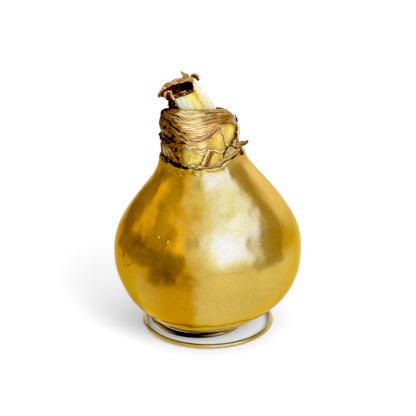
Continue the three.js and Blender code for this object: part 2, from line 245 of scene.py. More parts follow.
def tone(red, green, blue):
    def linear(c):
        c /= 255
        return c / 12.92 if c <= 0.04045 else ((c + 0.055) / 1.055) ** 2.4
    return linear(red), linear(green), linear(blue), 1.0


# A socket that can be used in sums: each operation adds its Math node.
class Wire:
    def __init__(self, finish, socket):
        self.finish = finish
        self.socket = socket

    def maths(self, operation, *values):
        return self.finish.node("ShaderNodeMath", {"operation": operation}, dict(enumerate(values)))

    def __abs__(self):
        return self.maths("ABSOLUTE", self)


for word, operation in (("add", "ADD"), ("sub", "SUBTRACT"), ("mul", "MULTIPLY"), ("pow", "POWER")):
    setattr(Wire, f"__{word}__", lambda wire, other, kind=operation: wire.maths(kind, wire, other))
    setattr(Wire, f"__r{word}__", lambda wire, other, kind=operation: wire.maths(kind, other, wire))


class Finish:
    def __init__(self, owner):
        owner.use_nodes = True
        self.owner = owner
        self.tree = owner.node_tree
        self.tree.nodes.clear()

    def node(self, kind, settings, inputs, output=0):
        made = self.tree.nodes.new(kind)
        for key, value in settings.items():
            if key == "stops":
                self.setStops(made.color_ramp, value)
            else:
                setattr(made, key, value)
        for key, value in inputs.items():
            if isinstance(value, Wire):
                self.tree.links.new(value.socket, made.inputs[key])
            else:
                made.inputs[key].default_value = value
        return Wire(self, made.outputs[output])

    def setStops(self, ramp, stops):
        while len(ramp.elements) < len(stops):
            ramp.elements.new(0.5)
        for element, (place, colour) in zip(ramp.elements, stops):
            element.position = place
            element.color = colour

    def place(self):
        return self.node("ShaderNodeTexCoord", {}, {}, "Object")

    def stretched(self, x, y, z):
        scaled = {"operation": "MULTIPLY"}
        return self.node("ShaderNodeVectorMath", scaled, {0: self.place(), 1: (x, y, z)})

    def marks(self, *words):
        return [self.node("ShaderNodeAttribute", {"attribute_name": word}, {}, "Fac") for word in words]

    def parts(self, vector, letters):
        return [self.node("ShaderNodeSeparateXYZ", {}, {0: vector}, letter) for letter in letters]

    def grey(self, value):
        return self.node("ShaderNodeCombineColor", {}, {0: value, 1: value, 2: value})

    def cloud(self, vector, scale, detail=3.0, roughness=0.5):
        sockets = {"Vector": vector, "Scale": scale, "Detail": detail, "Roughness": roughness}
        return self.node("ShaderNodeTexNoise", {}, sockets, "Fac")

    # Noise in streaks that run along the lines where the mark "flow" stays the same.
    def streaks(self, sideways, upwards, detail, roughness=0.6):
        x, y = self.parts(self.place(), "XY")
        lines = {0: x * sideways, 1: y * sideways, 2: self.marks("flow")[0] * upwards}
        return self.cloud(self.node("ShaderNodeCombineXYZ", {}, lines), 1.0, detail, roughness)

    def remap(self, value, start, end, low=0.0, high=1.0):
        sockets = {"Value": value, "From Min": start, "From Max": end, "To Min": low, "To Max": high}
        return self.node("ShaderNodeMapRange", {"interpolation_type": "SMOOTHSTEP"}, sockets)

    # For noise, which lies mostly between 0.3 and 0.7.
    def spread(self, value, low=0.0, high=1.0):
        return self.remap(value, 0.3, 0.7, low, high)

    def ramp(self, value, *stops):
        return self.node("ShaderNodeValToRGB", {"stops": stops}, {"Fac": value})

    def shades(self, value, *stops):
        return self.ramp(value, *((place, tone(*colour)) for place, *colour in stops))

    def blend(self, share, under, over, mode="MIX"):
        settings = {"data_type": "RGBA", "blend_type": mode, "clamp_factor": True}
        return self.node("ShaderNodeMix", settings, {0: share, 6: under, 7: over}, 2)

    # Colours laid over one another: the share and the red, green and blue of each.
    def layered(self, colour, *layers):
        for share, *over in layers:
            colour = self.blend(share, colour, tone(*over))
        return colour

    def bump(self, height, distance, strength=1.0, under=None):
        sockets = {"Height": height, "Distance": distance, "Strength": strength}
        if under:
            sockets["Normal"] = under
        return self.node("ShaderNodeBump", {}, sockets)

    # Links the last shader to the output; the sockets' names have _ for a space.
    def outcome(self, shader, output="ShaderNodeOutputMaterial", **sockets):
        named = {key.replace("_", " "): value for key, value in sockets.items()}
        last = self.tree.nodes.new(output)
        self.tree.links.new(self.node(shader, {}, named).socket, last.inputs["Surface"])
        return self.owner

    def surface(self, colour, roughness, **others):
        return self.outcome("ShaderNodeBsdfPrincipled", Base_Color=colour, Roughness=roughness, **others)


def newFinish(name):
    return Finish(bpy.data.materials.new(name))


# Dense points of a smooth line through knots (x, z).
def smoothLine(knots, steps=24):
    points = [Vector((x, 0, z)) for x, z in knots]
    points = [2 * points[0] - points[1]] + points + [2 * points[-1] - points[-2]]
    dense = []
    for p in zip(points, points[1:], points[2:], points[3:]):
        t = [0]
        for a, b in zip(p, p[1:]):
            t.append(t[-1] + math.sqrt((b - a).length))
        for k in range(steps):
            now = mix(t[1], t[2], k / steps)
            first = [p[i].lerp(p[i + 1], (now - t[i]) / (t[i + 1] - t[i])) for i in range(3)]
            second = [first[i].lerp(first[i + 1], (now - t[i]) / (t[i + 2] - t[i])) for i in range(2)]
            dense.append(second[0].lerp(second[1], (now - t[1]) / (t[2] - t[1])))
    return dense + [points[-2]]


# Gives the point and the heading at any share of a smooth line's length.
def follower(knots):
    dense = smoothLine(knots)
    run = [0]
    for a, b in zip(dense, dense[1:]):
        run.append(run[-1] + (b - a).length)

    def follow(v):
        target = v * run[-1]
        k = 0
        while k < len(run) - 2 and run[k + 1] < target:
            k += 1
        ahead = (dense[min(k + 2, len(dense) - 1)] - dense[max(k - 1, 0)]).normalized()
        return dense[k].lerp(dense[k + 1], (target - run[k]) / (run[k + 1] - run[k])), ahead
    return follow


# Gold wax.
waxLook = {
    "rim": [(-180, 93), (-120, 91), (-90, 90), (-50, 90), (-28, 89.8), (-14, 90.2), (0, 89.8), (12, 90.2),
        (23, 91.2), (42, 93), (60, 93.2), (76, 92.4), (95, 91.8), (140, 93), (180, 93)], "lobeHeight": 0.4,
    "lip": 0.5, "stemHole": 2.2, "stemReach": 2.5, "stemTurn": 1215, "grid": (400, 150, 40), "rimRows": 0.2,
    "rimBand": 7, "rowSpread": 1.1, "flutes": 0.2, "fineFlutes": 0.16, "dimples": 0.08, "crinkle": 0.7,
    # where amber wax begins, and how far its edge drifts
    "amberHeights": (42, 58), "drift": 9,
    # painted dark reflections: darker brown patches where the wax colour stands in for dark surroundings it
    # mirrors
    "brown": [(-48, 56, 9, 5, 0.6), (-38, 51, 9, 4, 0.1), (-24, 44, 9, 6, 0.55), (-10, 42, 6, 4, 0.5),
        (-95, 70, 30, 16, 0.5), (-62, 84, 12, 4, 0.5)],
    # painted bright reflections: lighter amber patches where the wax colour stands in for bright bands it
    # mirrors
    "glow": [(-66, 73, 9, 9, 1.0), (-20, 59, 4.5, 6, 1.0), (-30, 66, 6, 5, 0.5), (-14, 51, 3, 3, 0.7),
        (-46, 84, 8, 3, 0.8)],
    # small cracks down to the skin, and bright chips
    "scar": [(-62.5, 46, 0.9, 2.2, 1), (-60.5, 41, 0.8, 1.2, 0.8), (-56.5, 42.2, 1.2, 0.9, 1),
        (-54, 43.8, 1.2, 0.9, 1), (-51.5, 45.4, 1.2, 0.8, 1), (-60, 37.5, 0.9, 0.8, 0.8),
        (-33, 56.4, 0.8, 0.6, 0.8)], "chip": [(-36, 63, 0.9, 0.6, 1), (-34.5, 60.7, 0.9, 0.6, 1),
        (-27, 59.5, 0.8, 0.6, 1)],
}
waxPlain = dict.fromkeys(("rim", "amber", "brown", "glow", "scar", "chip", "pale"), 0.0)


def waxEdge(angle):
    ragged = 0.22 * wave(angle, 7, 40) + 0.22 * wave(angle, 13, 10) + 0.15 * wave(angle, 22, 80)
    return aroundKnots(waxLook["rim"], angle) + ragged


# How far the wax stands out from the plain skin.
def waxRelief(angle, h, p, edge):
    look = waxLook
    lobes = 0.6 * wave(angle, 5, 2 * h) + 0.4 * wave(angle, 8, 70 - h)
    lobes *= look["lobeHeight"] * smooth(h, 5, 35) * (1 - smooth(h, 60, 84))
    flutes = look["flutes"] * roughAt(p, 0.8, 0.28, 2) * smooth(h, 3, 14)
    flutes *= 1 + 1.5 * nearness(angle, -46, 38) * (1 - smooth(h, 30, 50))
    flutes += look["fineFlutes"] * roughAt(p, 2.4, 0.3, 2) * patch(angle, h, -38, 56, 30, 26)
    crumple = look["crinkle"] * roughAt(p, 4.2, 6.5) * smooth(h, edge - 6, edge) ** 1.3
    crumple *= 1 - 0.75 * nearness(angle, 60, 50)
    return lobes + flutes + look["dimples"] * roughAt(p, 2.1, 1.7, 2) + crumple


def waxMarks(angle, h, p, edge):
    look = waxLook
    high = smooth(h, *look["amberHeights"])
    drift = look["drift"] * roughAt(p, 0.9, 0.6) * mix(0.35, 1, high)
    amber = smooth(-angle + drift, mix(4, 6, high), mix(12, 24, high))
    amber *= (1 - smooth(-angle + drift, 140, 165)) if angle < 0 else 0
    amber *= 1 - 0.7 * (1 - smooth(h, 26, 50)) * smooth(-angle, 18, 50)
    amber += 0.8 * nearness(angle, 53 + 0.4 * drift, 17) * smooth(h, 44, 54) * (1 - smooth(h, 86, 94))
    cloud = clamp(0.75 + 1.1 * roughAt(p, 1.6, 2.2), 0, 1.4)
    brown = patchSum(angle + 0.6 * drift, h + 0.4 * drift, look["brown"]) * cloud
    glow = patchSum(angle + 0.3 * drift, h + 0.3 * drift, look["glow"]) * cloud * 1.3
    scar, chip = (clamp(patchSum(angle, h, look[word])) for word in ("scar", "chip"))
    # pale lightens the right shoulder: a painted reflection
    return {"rim": smooth(h, edge - 6, edge), "amber": amber, "brown": clamp(brown), "glow": clamp(glow),
            "scar": scar, "chip": chip, "pale": nearness(angle, 88, 24) * smooth(h, 54, 68)}


def waxPoint(u, v):
    look = waxLook
    angle = u * 360 - 180
    outerRows, innerRows = look["grid"][1:]
    rows = outerRows + innerRows
    row = round(v * rows)
    low = bulbShape["baseHeight"]
    edge = waxEdge(angle) + 0.5 * rough(u * 40, 3, 1, 2) * smooth(u, 0, 0.02) * (1 - smooth(u, 0.98, 1))
    if row == 0 or row == rows - 1:  # round the hole for the wire
        stem, turn = math.radians(look["stemTurn"]), math.radians(angle)
        x = look["stemReach"] * (math.cos(stem) - math.sin(stem)) + look["stemHole"] * math.sin(turn)
        y = look["stemReach"] * (math.sin(stem) + math.cos(stem)) - look["stemHole"] * math.cos(turn)
        return (x, y, low if row == 0 else low + bulbShape["waxWall"]), waxPlain
    if row >= outerRows:
        share = (rows - 2 - row) / (innerRows - 2)
        h = mix(low + 0.2, edge - 0.2, share ** look["rowSpread"])
        return skin(angle, h, bulbShape["waxWall"]), waxPlain
    share, body = (row - 1) / (outerRows - 2), 1 - look["rimRows"]
    if share < body:
        h = mix(low, edge - look["rimBand"], (share / body) ** look["rowSpread"])
    else:
        h = mix(edge - look["rimBand"], edge, (share - body) / look["rimRows"])
    p = skin(angle, h) / 10
    lip = look["lip"] * smooth(h, edge - 2.4, edge - 0.6) * (1 if row < outerRows - 1 else 0.5)
    return skin(angle, h, -waxRelief(angle, h, p, edge) - lip), waxMarks(angle, h, p, edge)


def goldWaxFinish():
    f = newFinish("goldWax")
    place = f.place()
    amber, brown, glow, rim = f.marks("amber", "brown", "glow", "rim")
    scar, chip, pale = f.marks("scar", "chip", "pale")
    patches = f.cloud(f.stretched(1, 1, 0.45), 70, 3, 0.55)
    mica = f.cloud(place, 1500, 2, 0.7)
    fine = f.cloud(place, 3200, 1, 0.5)
    broken = f.cloud(place, 1100, 3, 0.6)
    gold = f.blend(f.spread(patches), tone(189, 160, 76), tone(195, 167, 85))
    deep = f.blend(f.remap(patches, 0.35, 0.65), tone(174, 124, 30), tone(183, 133, 38))
    crack = f.remap(scar + (broken - 0.5) * 1.6, 0.5, 0.68)
    # Painted light in the wax colour: the brown patches are painted dark reflections, the glow patches
    # painted bright reflections and the pale right shoulder a painted reflection.
    base = f.layered(f.blend(amber, gold, deep), (pale * 0.7, 216, 192, 138), (brown, 108, 64, 12),
                     (glow * 0.85, 208, 150, 24), (crack, 56, 30, 8),
                     (f.remap(chip, 0.4, 0.8), 250, 240, 190))
    base = f.blend(1.0, base, f.grey(f.remap(mica, 0.35, 0.7, 0.9, 1.08)), "MULTIPLY")
    base = f.blend(rim * 0.5, base, tone(192, 150, 54))
    roughness = f.spread(mica, 0.18, 0.26) - amber * 0.03 + rim * 0.15 + crack * 0.3
    grain = f.bump(fine, 0.00003, 0.3, f.bump(mica, 0.00005, 0.4))
    grain = f.bump(1 - crack, 0.0004, 0.6, grain)
    return f.surface(base, roughness, Metallic=1.0, Normal=grain,
                     Specular_Tint=(0.9, 0.68, 0.3, 1), Coat_Weight=0.1, Coat_Roughness=0.22)


# The steel wire's finish.
def steelFinish():
    f = newFinish("drawnSteel")
    drawn = f.cloud(f.place(), 1400, 3, 0.6)
    x, y = f.parts(f.place(), "XY")
    outer, right = f.remap((x * x + y * y) ** 0.5, 0.024, 0.028), f.remap(x, -0.004, 0.01)
    colour = f.blend(f.spread(drawn), tone(164, 142, 76), tone(182, 160, 90))
    colour = f.blend((1 - outer) * (1 - right) * 0.95, colour, tone(34, 28, 16))  # the inner turn darkened: painted shadow under the bulb
    return f.surface(colour, f.spread(drawn, 0.14, 0.22), Metallic=1.0,
                     Normal=f.bump(drawn, 0.00002, 0.3))


# Flesh, bare in the windows of the neck.
fleshLook = {"grid": (240, 130), "foot": 3, "bareFrom": 86, "share": 0.25, "ribs": 0.1, "dents": 0.25}


def fleshPoint(u, v):
    look = fleshLook
    angle = u * 360 - 180
    if v < look["share"]:
        h = mix(look["foot"], look["bareFrom"], v / look["share"])
    else:
        h = mix(look["bareFrom"], topHeight, (v - look["share"]) / (1 - look["share"]))
    if v == 0 or v == 1:
        centre = skin(0, h, fleshDepth(h)) + Vector((bulbShape["baseLean"] * (v == 0), 0, 0))
        return centre, {"ripe": 0.5, "green": 0.0}
    p = skin(angle, h, fleshDepth(h)) / 10
    relief = look["ribs"] * roughAt(p, 6, 0.8, 2) + look["dents"] * roughAt(p, 1.4, 1.4, 2)
    relief = relief * smooth(h, 84, 90) + 0.9 * patch(angle, h, 84, 103, 13, 5)
    # darker amber along the window edges, by the left scale, at the right curl and just above the wax rim:
    # painted shade where the flesh meets the scales and the wax, mottled at random
    ripe = nearness(angle, -36, 9) + 0.6 * patch(angle, h, 84, 103, 12, 3) + 0.5 * hump(h, 91, 1.6)
    # green is 1 on the left and 0 right of the front; the finish makes the left lighter and greener, painted
    # to even out the key light
    marks = {"ripe": clamp(ripe + 0.9 * roughAt(p, 3, 3)),
             "green": 1 - smooth(angle, -12, 34) if abs(angle) < 90 else 0.4}
    return skin(angle, h, fleshDepth(h) - relief), marks


def fleshFinish():
    f = newFinish("bulbFlesh")
    green, ripe = f.marks("green", "ripe")
    veins = f.cloud(f.stretched(1, 1, 0.12), 700, 3, 0.6)
    blush = f.cloud(f.stretched(1, 1, 0.6), 260, 4, 0.6)
    pores = f.cloud(f.place(), 1500, 2, 0.6)
    shade = f.remap(blush * 0.6 + pores * 0.4, 0.34, 0.66)
    # The flesh gets a lighter, greener copy on the left, away from the key light, and a darker, yellower
    # copy on the lit right: painted shade that evens out the key light.
    darkerFleshUnderKey = f.shades(shade, (0.0, 162, 132, 46), (0.5, 180, 157, 72), (1.0, 196, 177, 102))
    lighterFleshAwayFromKey = f.shades(shade, (0.0, 182, 156, 54), (0.5, 202, 182, 88), (1.0, 214, 200, 124))
    colour = f.layered(f.blend(green, darkerFleshUnderKey, lighterFleshAwayFromKey), (ripe * 0.75, 170, 128, 24),
                       (f.remap(veins, 0.55, 0.75) * 0.3, 212, 196, 120))
    return f.surface(colour, f.spread(veins, 0.4, 0.55), Specular_IOR_Level=0.25,
                     Normal=f.bump(pores, 0.0002, 0.5, f.bump(veins, 0.0002, 0.5)))


# Dry scales round the neck. First the collar's lower edge, on the left and on the right.
collarLeft = [(-180, 97), (-152, 98.5), (-137, 106.6), (-64, 106.9), (-45, 103)]
collarRight = [(39, 106.4), (44, 107.5), (52, 107.2), (68, 106), (76, 104.2), (92, 101), (110, 97.5),
               (140, 96), (180, 97)]
collarLook = {
    "low": [*collarLeft, (-33, 100.9), (-16, 99.2), (2, 97.7), (8, 98.1), (11, 99.4), (14, 102.6),
        (19, 103.8), (30, 104.5), (35, 104.9), *collarRight],
    # the curve of the lowest fold; below it hangs a thin, calmer skin
    "fold": [*collarLeft, (-33, 101.4), (-18, 101.2), (0, 101.9), (14, 103), (28, 104.8), *collarRight],
    "grid": (480, 124, 18), "mouthWide": 13.8, "mouthDeep": 6.6, "garlands": 4, "garlandHeight": 0.22,
    "lines": 18, "lineHeight": 0.5,
    # patches: where the folds are calm, folds on the side, where the skin is brown, where it is pale
    # (painted highlights on the folds)
    "calm": [(57, 109, 17, 1.8, 1), (4, 101, 8, 1.5, 1)], "sideFolds": [(-86, 110, 26, 1.7, 0.9),
        (-86, 106, 26, 1.2, -0.5), (-86, 103, 26, 1.4, 0.4)], "honey": [(62, 109, 22, 1.9, 0.7),
        (-23, 103.6, 12, 1.8, 0.75), (42, 111, 26, 1.6, 0.3), (-27, 107.5, 6, 3, 0.5)],
    "pale": [(4, 101.2, 9, 1.7, 0.9), (-8, 112.5, 22, 1.4, 1)],
    # single dark lines: the knots (angle, height) of each, and how wide it is
    "ink": [([(-34, 111.9), (-14, 111.4), (6, 111.2), (20, 111.6)], 0.14),
        ([(24, 113.2), (40, 113.2), (56, 112.6), (70, 111.7)], 0.32), ([(34, 112.2), (46, 111.9)], 0.35),
        ([(10, 109.8), (22, 110.2), (32, 110.7)], 0.22), ([(12, 108.2), (22, 108.6), (33, 109.2)], 0.26),
        ([(-5, 102.5), (3, 103), (9, 103.5), (20, 104.5), (29, 105.3), (37, 106)], 0.2),
        ([(28, 110.4), (42, 110.6), (56, 110.2), (70, 109.4)], 0.22),
        ([(30, 108.9), (44, 108.8), (60, 108)], 0.2), ([(36, 107.9), (52, 107.6), (69, 106.4)], 0.26),
        ([(-12, 102.6), (2, 102.4), (12, 103.2), (24, 104.8), (33, 106.8)], 0.14),
        ([(-6, 104), (8, 104.2), (20, 105.6), (31, 107.2)], 0.12), ([(-4, 102), (-3, 100), (1, 98.8)], 0.14),
        ([(-46, 106), (-34, 104.2), (-24, 103.2)], 0.2)],
    # strokes where the left is crumpled: torn black ones, and ones that catch the light
    "torn": [([(-108, 110.2), (-53, 111.5), (-38, 111.8), (-24, 110.5)], 0.2),
        ([(-45, 109.8), (-38, 110.7), (-30, 109.9)], 0.3), ([(-48, 106.8), (-36, 106.2), (-29, 105)], 0.45),
        ([(-23, 105.2), (-18, 104.2)], 0.25), ([(-31, 103.8), (-23, 103), (-17, 102.5)], 0.16),
        ([(-28, 102.4), (-20, 101.9), (-14, 100.9)], 0.14), ([(-22, 104), (-15, 103), (-9, 102.5)], 0.14),
        ([(-80, 107.6), (-62, 108.4), (-48, 108.2)], 0.3)],
    "shine": [([(-76, 111), (-50, 110.9), (-34, 110.5)], 0.2),
        ([(-45, 110.5), (-38, 111.3), (-27, 110.1)], 0.14),
        ([(-45, 105.9), (-36, 105.1), (-31, 104.3)], 0.28),
        ([(-31, 104.4), (-24, 104.2), (-18, 103.5)], 0.18),
        ([(-29, 103.2), (-22, 102.6), (-17, 102), (-9, 101)], 0.2),
        ([(-19, 103.5), (-13, 102.8), (-8, 102)], 0.16), ([(-88, 105.6), (-78, 106), (-66, 105.2)], 0.3),
        ([(-84, 103), (-72, 103.2), (-58, 103)], 0.4)],
}
perDegree = 0.35  # millimetres on the neck for each degree round it


def collarEdge(angle):
    return aroundKnots(collarLook["low"], angle) + 0.25 * wave(angle, 17, 30)


def mouthHeight(angle):
    turn = math.radians(angle)
    wide, deep = collarLook["mouthWide"], collarLook["mouthDeep"]
    radius = wide * deep / math.hypot(deep * math.sin(turn), wide * math.cos(turn))
    share = math.acos((radius / bulbShape["neckRadius"]) ** (1 / bulbShape["domeFullness"])) / (math.pi / 2)
    return bulbShape["neckHeight"] + bulbShape["domeHeight"] * share


# Rounded folds with sharp valleys between them: the height of the fold, and how near the valley is.
def pleats(x, narrow=0.13):
    away = abs(x - round(x))
    return (2 * away) ** 0.55, math.exp(-((away / narrow) ** 2))


# How far a place (angle, height) is from a line through knots, in millimetres.
def fromLine(angle, h, knots):
    here = Vector((angle * perDegree, h))
    best = 99
    for (a, low), (b, high) in zip(knots, knots[1:]):
        start, end = Vector((a * perDegree, low)), Vector((b * perDegree, high))
        share = clamp((here - start).dot(end - start) / (end - start).length_squared)
        best = min(best, (here - start.lerp(end, share)).length)
    return best


def inked(angle, h, lines):
    return max(math.exp(-((fromLine(angle, h, knots) / wide) ** 2)) for knots, wide in lines)


def scaleMarks(*values):
    return dict(zip(("flow", "crease", "dark", "honey", "pale"), values))


def collarRelief(angle, h):
    look = collarLook
    foot = aroundKnots(look["fold"], angle)
    flow = (h - foot) / (mouthHeight(angle) - foot)
    p = skin(angle, h) / 10
    flow += 0.05 * roughAt(p, 0.8, 1.4, 2)
    broad, broadValley = pleats(flow * look["garlands"], 0.07)
    place = flow * look["lines"] + 0.35 * roughAt(p, 1.6, 3, 2)
    fine, fineValley = pleats(place)
    line = round(place)
    strength = clamp(0.55 + 0.9 * rough(line * 3.7, 2.2, 9.1, 1))
    strength *= clamp(0.6 + 1.2 * rough(p.x * 0.9 + 7, p.y * 0.9, line * 1.3, 2), 0.05, 1.2)
    calm = 1 - 0.8 * clamp(patchSum(angle, h, look["calm"]))
    relief = calm * (look["garlandHeight"] * broad + look["lineHeight"] * strength * fine) - 0.4
    relief += patchSum(angle, h, look["sideFolds"]) + 0.34 * roughAt(p, 5, 5, 2) * nearness(angle, -70, 40)
    ink = inked(angle, h, look["ink"]) if abs(angle) < 80 else 0
    return relief - 0.25 * ink, max(0.3 * broadValley * calm, strength * fineValley * calm, ink), flow


def collarPoint(u, v):
    look = collarLook
    angle = u * 360 - 180
    turn = math.radians(angle)
    outerRows, innerRows = look["grid"][1:]
    rows = outerRows + innerRows
    row = round(v * rows)
    outer = row < outerRows
    rise = row / (outerRows - 1) if outer else (rows - 1 - row) / (innerRows - 1)
    ragged = 0.3 * rough(math.cos(turn) * 9, math.sin(turn) * 9, 2, 3)
    h = mix(collarEdge(angle) + ragged, mouthHeight(angle) + 0.3 * ragged, rise)
    depth = mix(0.9, 0.3, smooth(h, 98, 104))
    relief, crease, flow = collarRelief(angle, h)
    p = skin(angle, h) / 10
    darkMottle = 0.9 * rough(p.x * 1.7, p.y * 1.7, flow * 9, 3)
    start = 23 + 1.6 * clamp(h - 107, -4, 5)  # where the crumpled left begins
    left = (angle < 0) * smooth(-angle + 10 * darkMottle, start, start + 15) * (1 - 0.6 * smooth(-angle, 120, 160))
    honey = 1.15 * left + patchSum(angle, h, look["honey"]) + 0.3 * smooth(angle, 4, 20)
    honey += 0.25 * patch(angle, h, -4, 105, 24, 2.6) * (0.4 + 1.2 * rough(p.x * 2, p.y * 2, flow * 12, 2))
    honey += 0.6 * clamp(nearness(angle, 165, 70) + 1.2 * darkMottle - 0.4)
    # The patch at the top left makes the skin near black: painted shadow under the lifted corner of the left
    # scale, over dark brown skin.
    dark = left * (0.16 + darkMottle) + 1.5 * patch(angle, h, -86, 110, 14, 1.9)
    dark += 0.9 * patch(angle, h, -42, 105.2, 8, 3) * (0.5 + 1.5 * darkMottle)
    dark = max(dark, 0.4 * clamp(nearness(angle, 165, 60) + 1.6 * darkMottle - 0.9))
    torn, shine = (inked(angle, h, look[word]) if -110 < angle < 0 else 0 for word in ("torn", "shine"))
    relief += 0.25 * shine - 0.3 * torn
    shine *= clamp(0.6 + 1.6 * roughAt(p, 3, 3, 2), 0.1, 1)
    pale = clamp(patchSum(angle, h, look["pale"]) + 0.35 * shine)
    relief *= smooth(rise, 0, 0.05) * (1 - 0.6 * smooth(rise, 0.9, 1))
    marks = scaleMarks(flow, crease * (1 - shine), clamp(dark + torn) * (1 - shine),
                       clamp(honey) * (1 - 0.75 * shine), pale)
    return skin(angle, h, depth - relief if outer else depth + bulbShape["scaleWall"] * 0.7), marks


def dryScaleFinish(name="dryScale", lift=0.0):
    f = newFinish(name)
    crease, dark, honey, pale = f.marks("crease", "dark", "honey", "pale")
    fibres = f.streaks(150, 110, 2)
    blotch = f.cloud(f.place(), 170, 3, 0.6)
    grain = f.cloud(f.place(), 700, 3, 0.6)
    light = f.spread(f.streaks(60, 30, 4)) * 0.5 + f.spread(blotch) * 0.35
    light = light + f.spread(fibres) * 0.3 + pale * 0.45 + lift
    colour = f.shades(light, (0.05, 148, 92, 24), (0.3, 176, 132, 46), (0.55, 190, 156, 76),
                      (0.8, 204, 178, 110), (1.0, 220, 203, 150))
    threads = (1 - f.remap(abs(f.streaks(80, 62, 2, 0.5) - 0.5), 0.0, 0.045)) * f.remap(blotch, 0.3, 0.55)
    glint = f.remap(f.streaks(70, 84, 2), 0.54, 0.6) * (1 - 0.8 * honey)
    colour = f.layered(colour, (threads * 0.85, 142, 84, 22), (glint * 0.95, 242, 234, 206))
    rust = f.blend(f.remap(fibres * 0.6 + grain * 0.5, 0.4, 0.7), tone(84, 51, 12), tone(140, 90, 22))
    # The near-black dark colour is partly dark skin and partly painted shadow: the gaps along the wax rim
    # and under the lifted left corner.
    darkMottle = f.remap(dark + (grain - 0.5) * 0.9 + crease * dark * 0.5, 0.42, 0.62)
    fleck = f.remap(grain + fibres * 0.5, 0.84, 0.96) * honey
    # The crease mark darkens the fold valleys, painted shade, together with the skin's brown lines and
    # edges.
    colour = f.layered(f.blend(honey * 0.9, colour, rust), (crease * (1 - 0.3 * pale), 104, 52, 10),
                       (darkMottle * 0.95, 34, 18, 6), (fleck * 0.7, 196, 158, 82))
    bumps = f.bump(fibres, 0.00025, 0.5, f.bump(grain, 0.0003, 0.4))
    return f.surface(colour, f.spread(fibres, 0.45, 0.65), Specular_IOR_Level=0.06,
                     Coat_Weight=0.35 * (1 - honey) * (1 - dark), Coat_Roughness=0.3,
                     Normal=f.bump(1 - threads, 0.0002, 0.6, bumps))


leftLook = {
    "from": -138, "to": -28, "grid": (250, 110, 0.4), "foot": 89, "crumple": 0.55,
    # folds that run round: height, half width, strength
    "folds": [(104.4, 1.3, 0.5), (102.4, 1, -0.5), (100.4, 1.2, 0.7), (98.4, 0.7, -0.5), (95, 2, 0.3)],
    "strokes": [([(-88, 99.8), (-80, 100.2), (-55, 102), (-35, 102.8)], 0.4),
        ([(-74, 98.2), (-62, 99.4), (-51, 101), (-35, 102)], 0.28),
        ([(-60, 94.6), (-50, 93.6), (-42, 93.6)], 0.25)],
    # near-black lines along the lower edge next to the wax rim: painted shadow of the gap there
    "rimShadow": [([(-62, 92.2), (-47, 91.4), (-28, 90)], 1.1)],
    "rimShadowLeft": [([(-92, 94), (-78, 92.6), (-62, 92.2)], 0.7)], "dark": [(-88, 101, 16, 1.6, 0.7),
        (-41, 98.6, 6, 2, 0.35), (-29, 97, 4, 3, -0.25)],
    "pale": [(-65, 95.6, 7, 2.2, 0.5), (-64, 103, 9, 0.9, 0.6)], "tan": (-58, 96.2, 13, 2.4),
}


def leftPoint(u, v):
    look = leftLook
    angle = mix(look["from"], look["to"], u)
    h = mix(look["foot"] + 0.5 * wave(angle, 11), collarEdge(angle) + 0.5, v)
    p = skin(angle, h) / 10
    swell = sum(strength * hump(h, level, tall) for level, tall, strength in look["folds"])
    swirl = roughAt(p, 1.3, 1.3, 2)
    slant = p.z * 1.5 + 0.5 * swirl + 0.18 * wave(angle, 5, 20)
    ridge, valley = pleats(slant * 1.9, 0.16)
    upright, uprightValley = pleats(angle / 11 + 0.8 * swirl + 0.22 * (h - 96), 0.16)
    share = smooth(h, 98.4, 96.8)
    crumple = look["crumple"] * (mix(ridge, upright, share) - 0.6) + 0.35 * roughAt(p, 4, 5)
    tan = patch(angle, h, *look["tan"])
    dark = 0.3 + 0.9 * rough(p.x * 2.1 + 3, p.y * 2.1, p.z * 3.4, 3) - 0.9 * tan
    dark += patchSum(angle, h, look["dark"]) + inked(angle, h, look["strokes"])
    dark += 1.2 * inked(angle, h, look["rimShadow"]) + 0.5 * inked(angle, h, look["rimShadowLeft"])
    pale = patchSum(angle, h, look["pale"])
    edge = smooth(u, 0, 0.03) * (1 - smooth(u, 0.97, 1)) * smooth(v, 0, 0.05)
    marks = scaleMarks(slant * 0.4, clamp(mix(valley, uprightValley, share)), clamp(dark),
                       1 - clamp(0.9 * pale + 0.6 * tan), 0.6 * pale)
    return skin(angle, h, 0.4 - (crumple + swell) * edge - 0.15), marks


rimLook = {
    "from": -20, "to": 221, "grid": (440, 34, 0.4), "flare": 5.5, "top": [(-20, 90.8), (-8, 91.3), (2, 90.8),
        (12, 91.4), (24, 92.5), (34, 93.8), (44, 95), (56, 96), (66, 97), (78, 98.6), (90, 97.4), (108, 95),
        (170, 95.6), (221, 94.8)],
}


def rimPoint(u, v):
    look = rimLook
    angle = mix(look["from"], look["to"], u)
    top = along(look["top"], angle) + 0.3 * wave(angle, 15) + 0.2 * wave(angle, 31, 50)
    top += 0.9 * rough(angle / 4, 2, 5, 3) * smooth(angle, 60, 80)
    h = mix(waxEdge(angle) - 1.2, top, v)
    p = skin(angle, h) / 10
    tuft = smooth(angle, 70, 80) * (1 - smooth(angle, 96, 108))
    flare = look["flare"] * smooth(v, 0.45, 1) * tuft
    crumple = 0.55 * roughAt(p, 4.5, 6) * smooth(v, 0.1, 0.5)
    flow = (h - waxEdge(angle)) * 0.22 + 0.08 * roughAt(p, 2, 2, 2)
    ridge, valley = pleats(flow * 3.4, 0.12)
    roll = 0.5 * hump(h - waxEdge(angle), 0.9, 0.7)
    depth = fleshDepth(h) - 0.9 - flare - roll - max(crumple, -0.25) - 0.3 * ridge
    darkMottle = roughAt(p, 7, 7)
    dark = 1.1 * tuft * smooth(v, 0.1, 0.4) * (0.45 + 2.2 * darkMottle)
    dark += 0.5 * smooth(angle, 120, 150) * (0.3 + darkMottle)
    honey = 0.3 + 0.6 * tuft + 0.5 * smooth(angle, 100, 130) * (0.5 + darkMottle)
    pale = 0.6 * (1 - tuft) * hump(v, 0.8, 0.2)
    return skin(angle, h, depth), scaleMarks(flow, valley, clamp(dark), clamp(honey), pale)


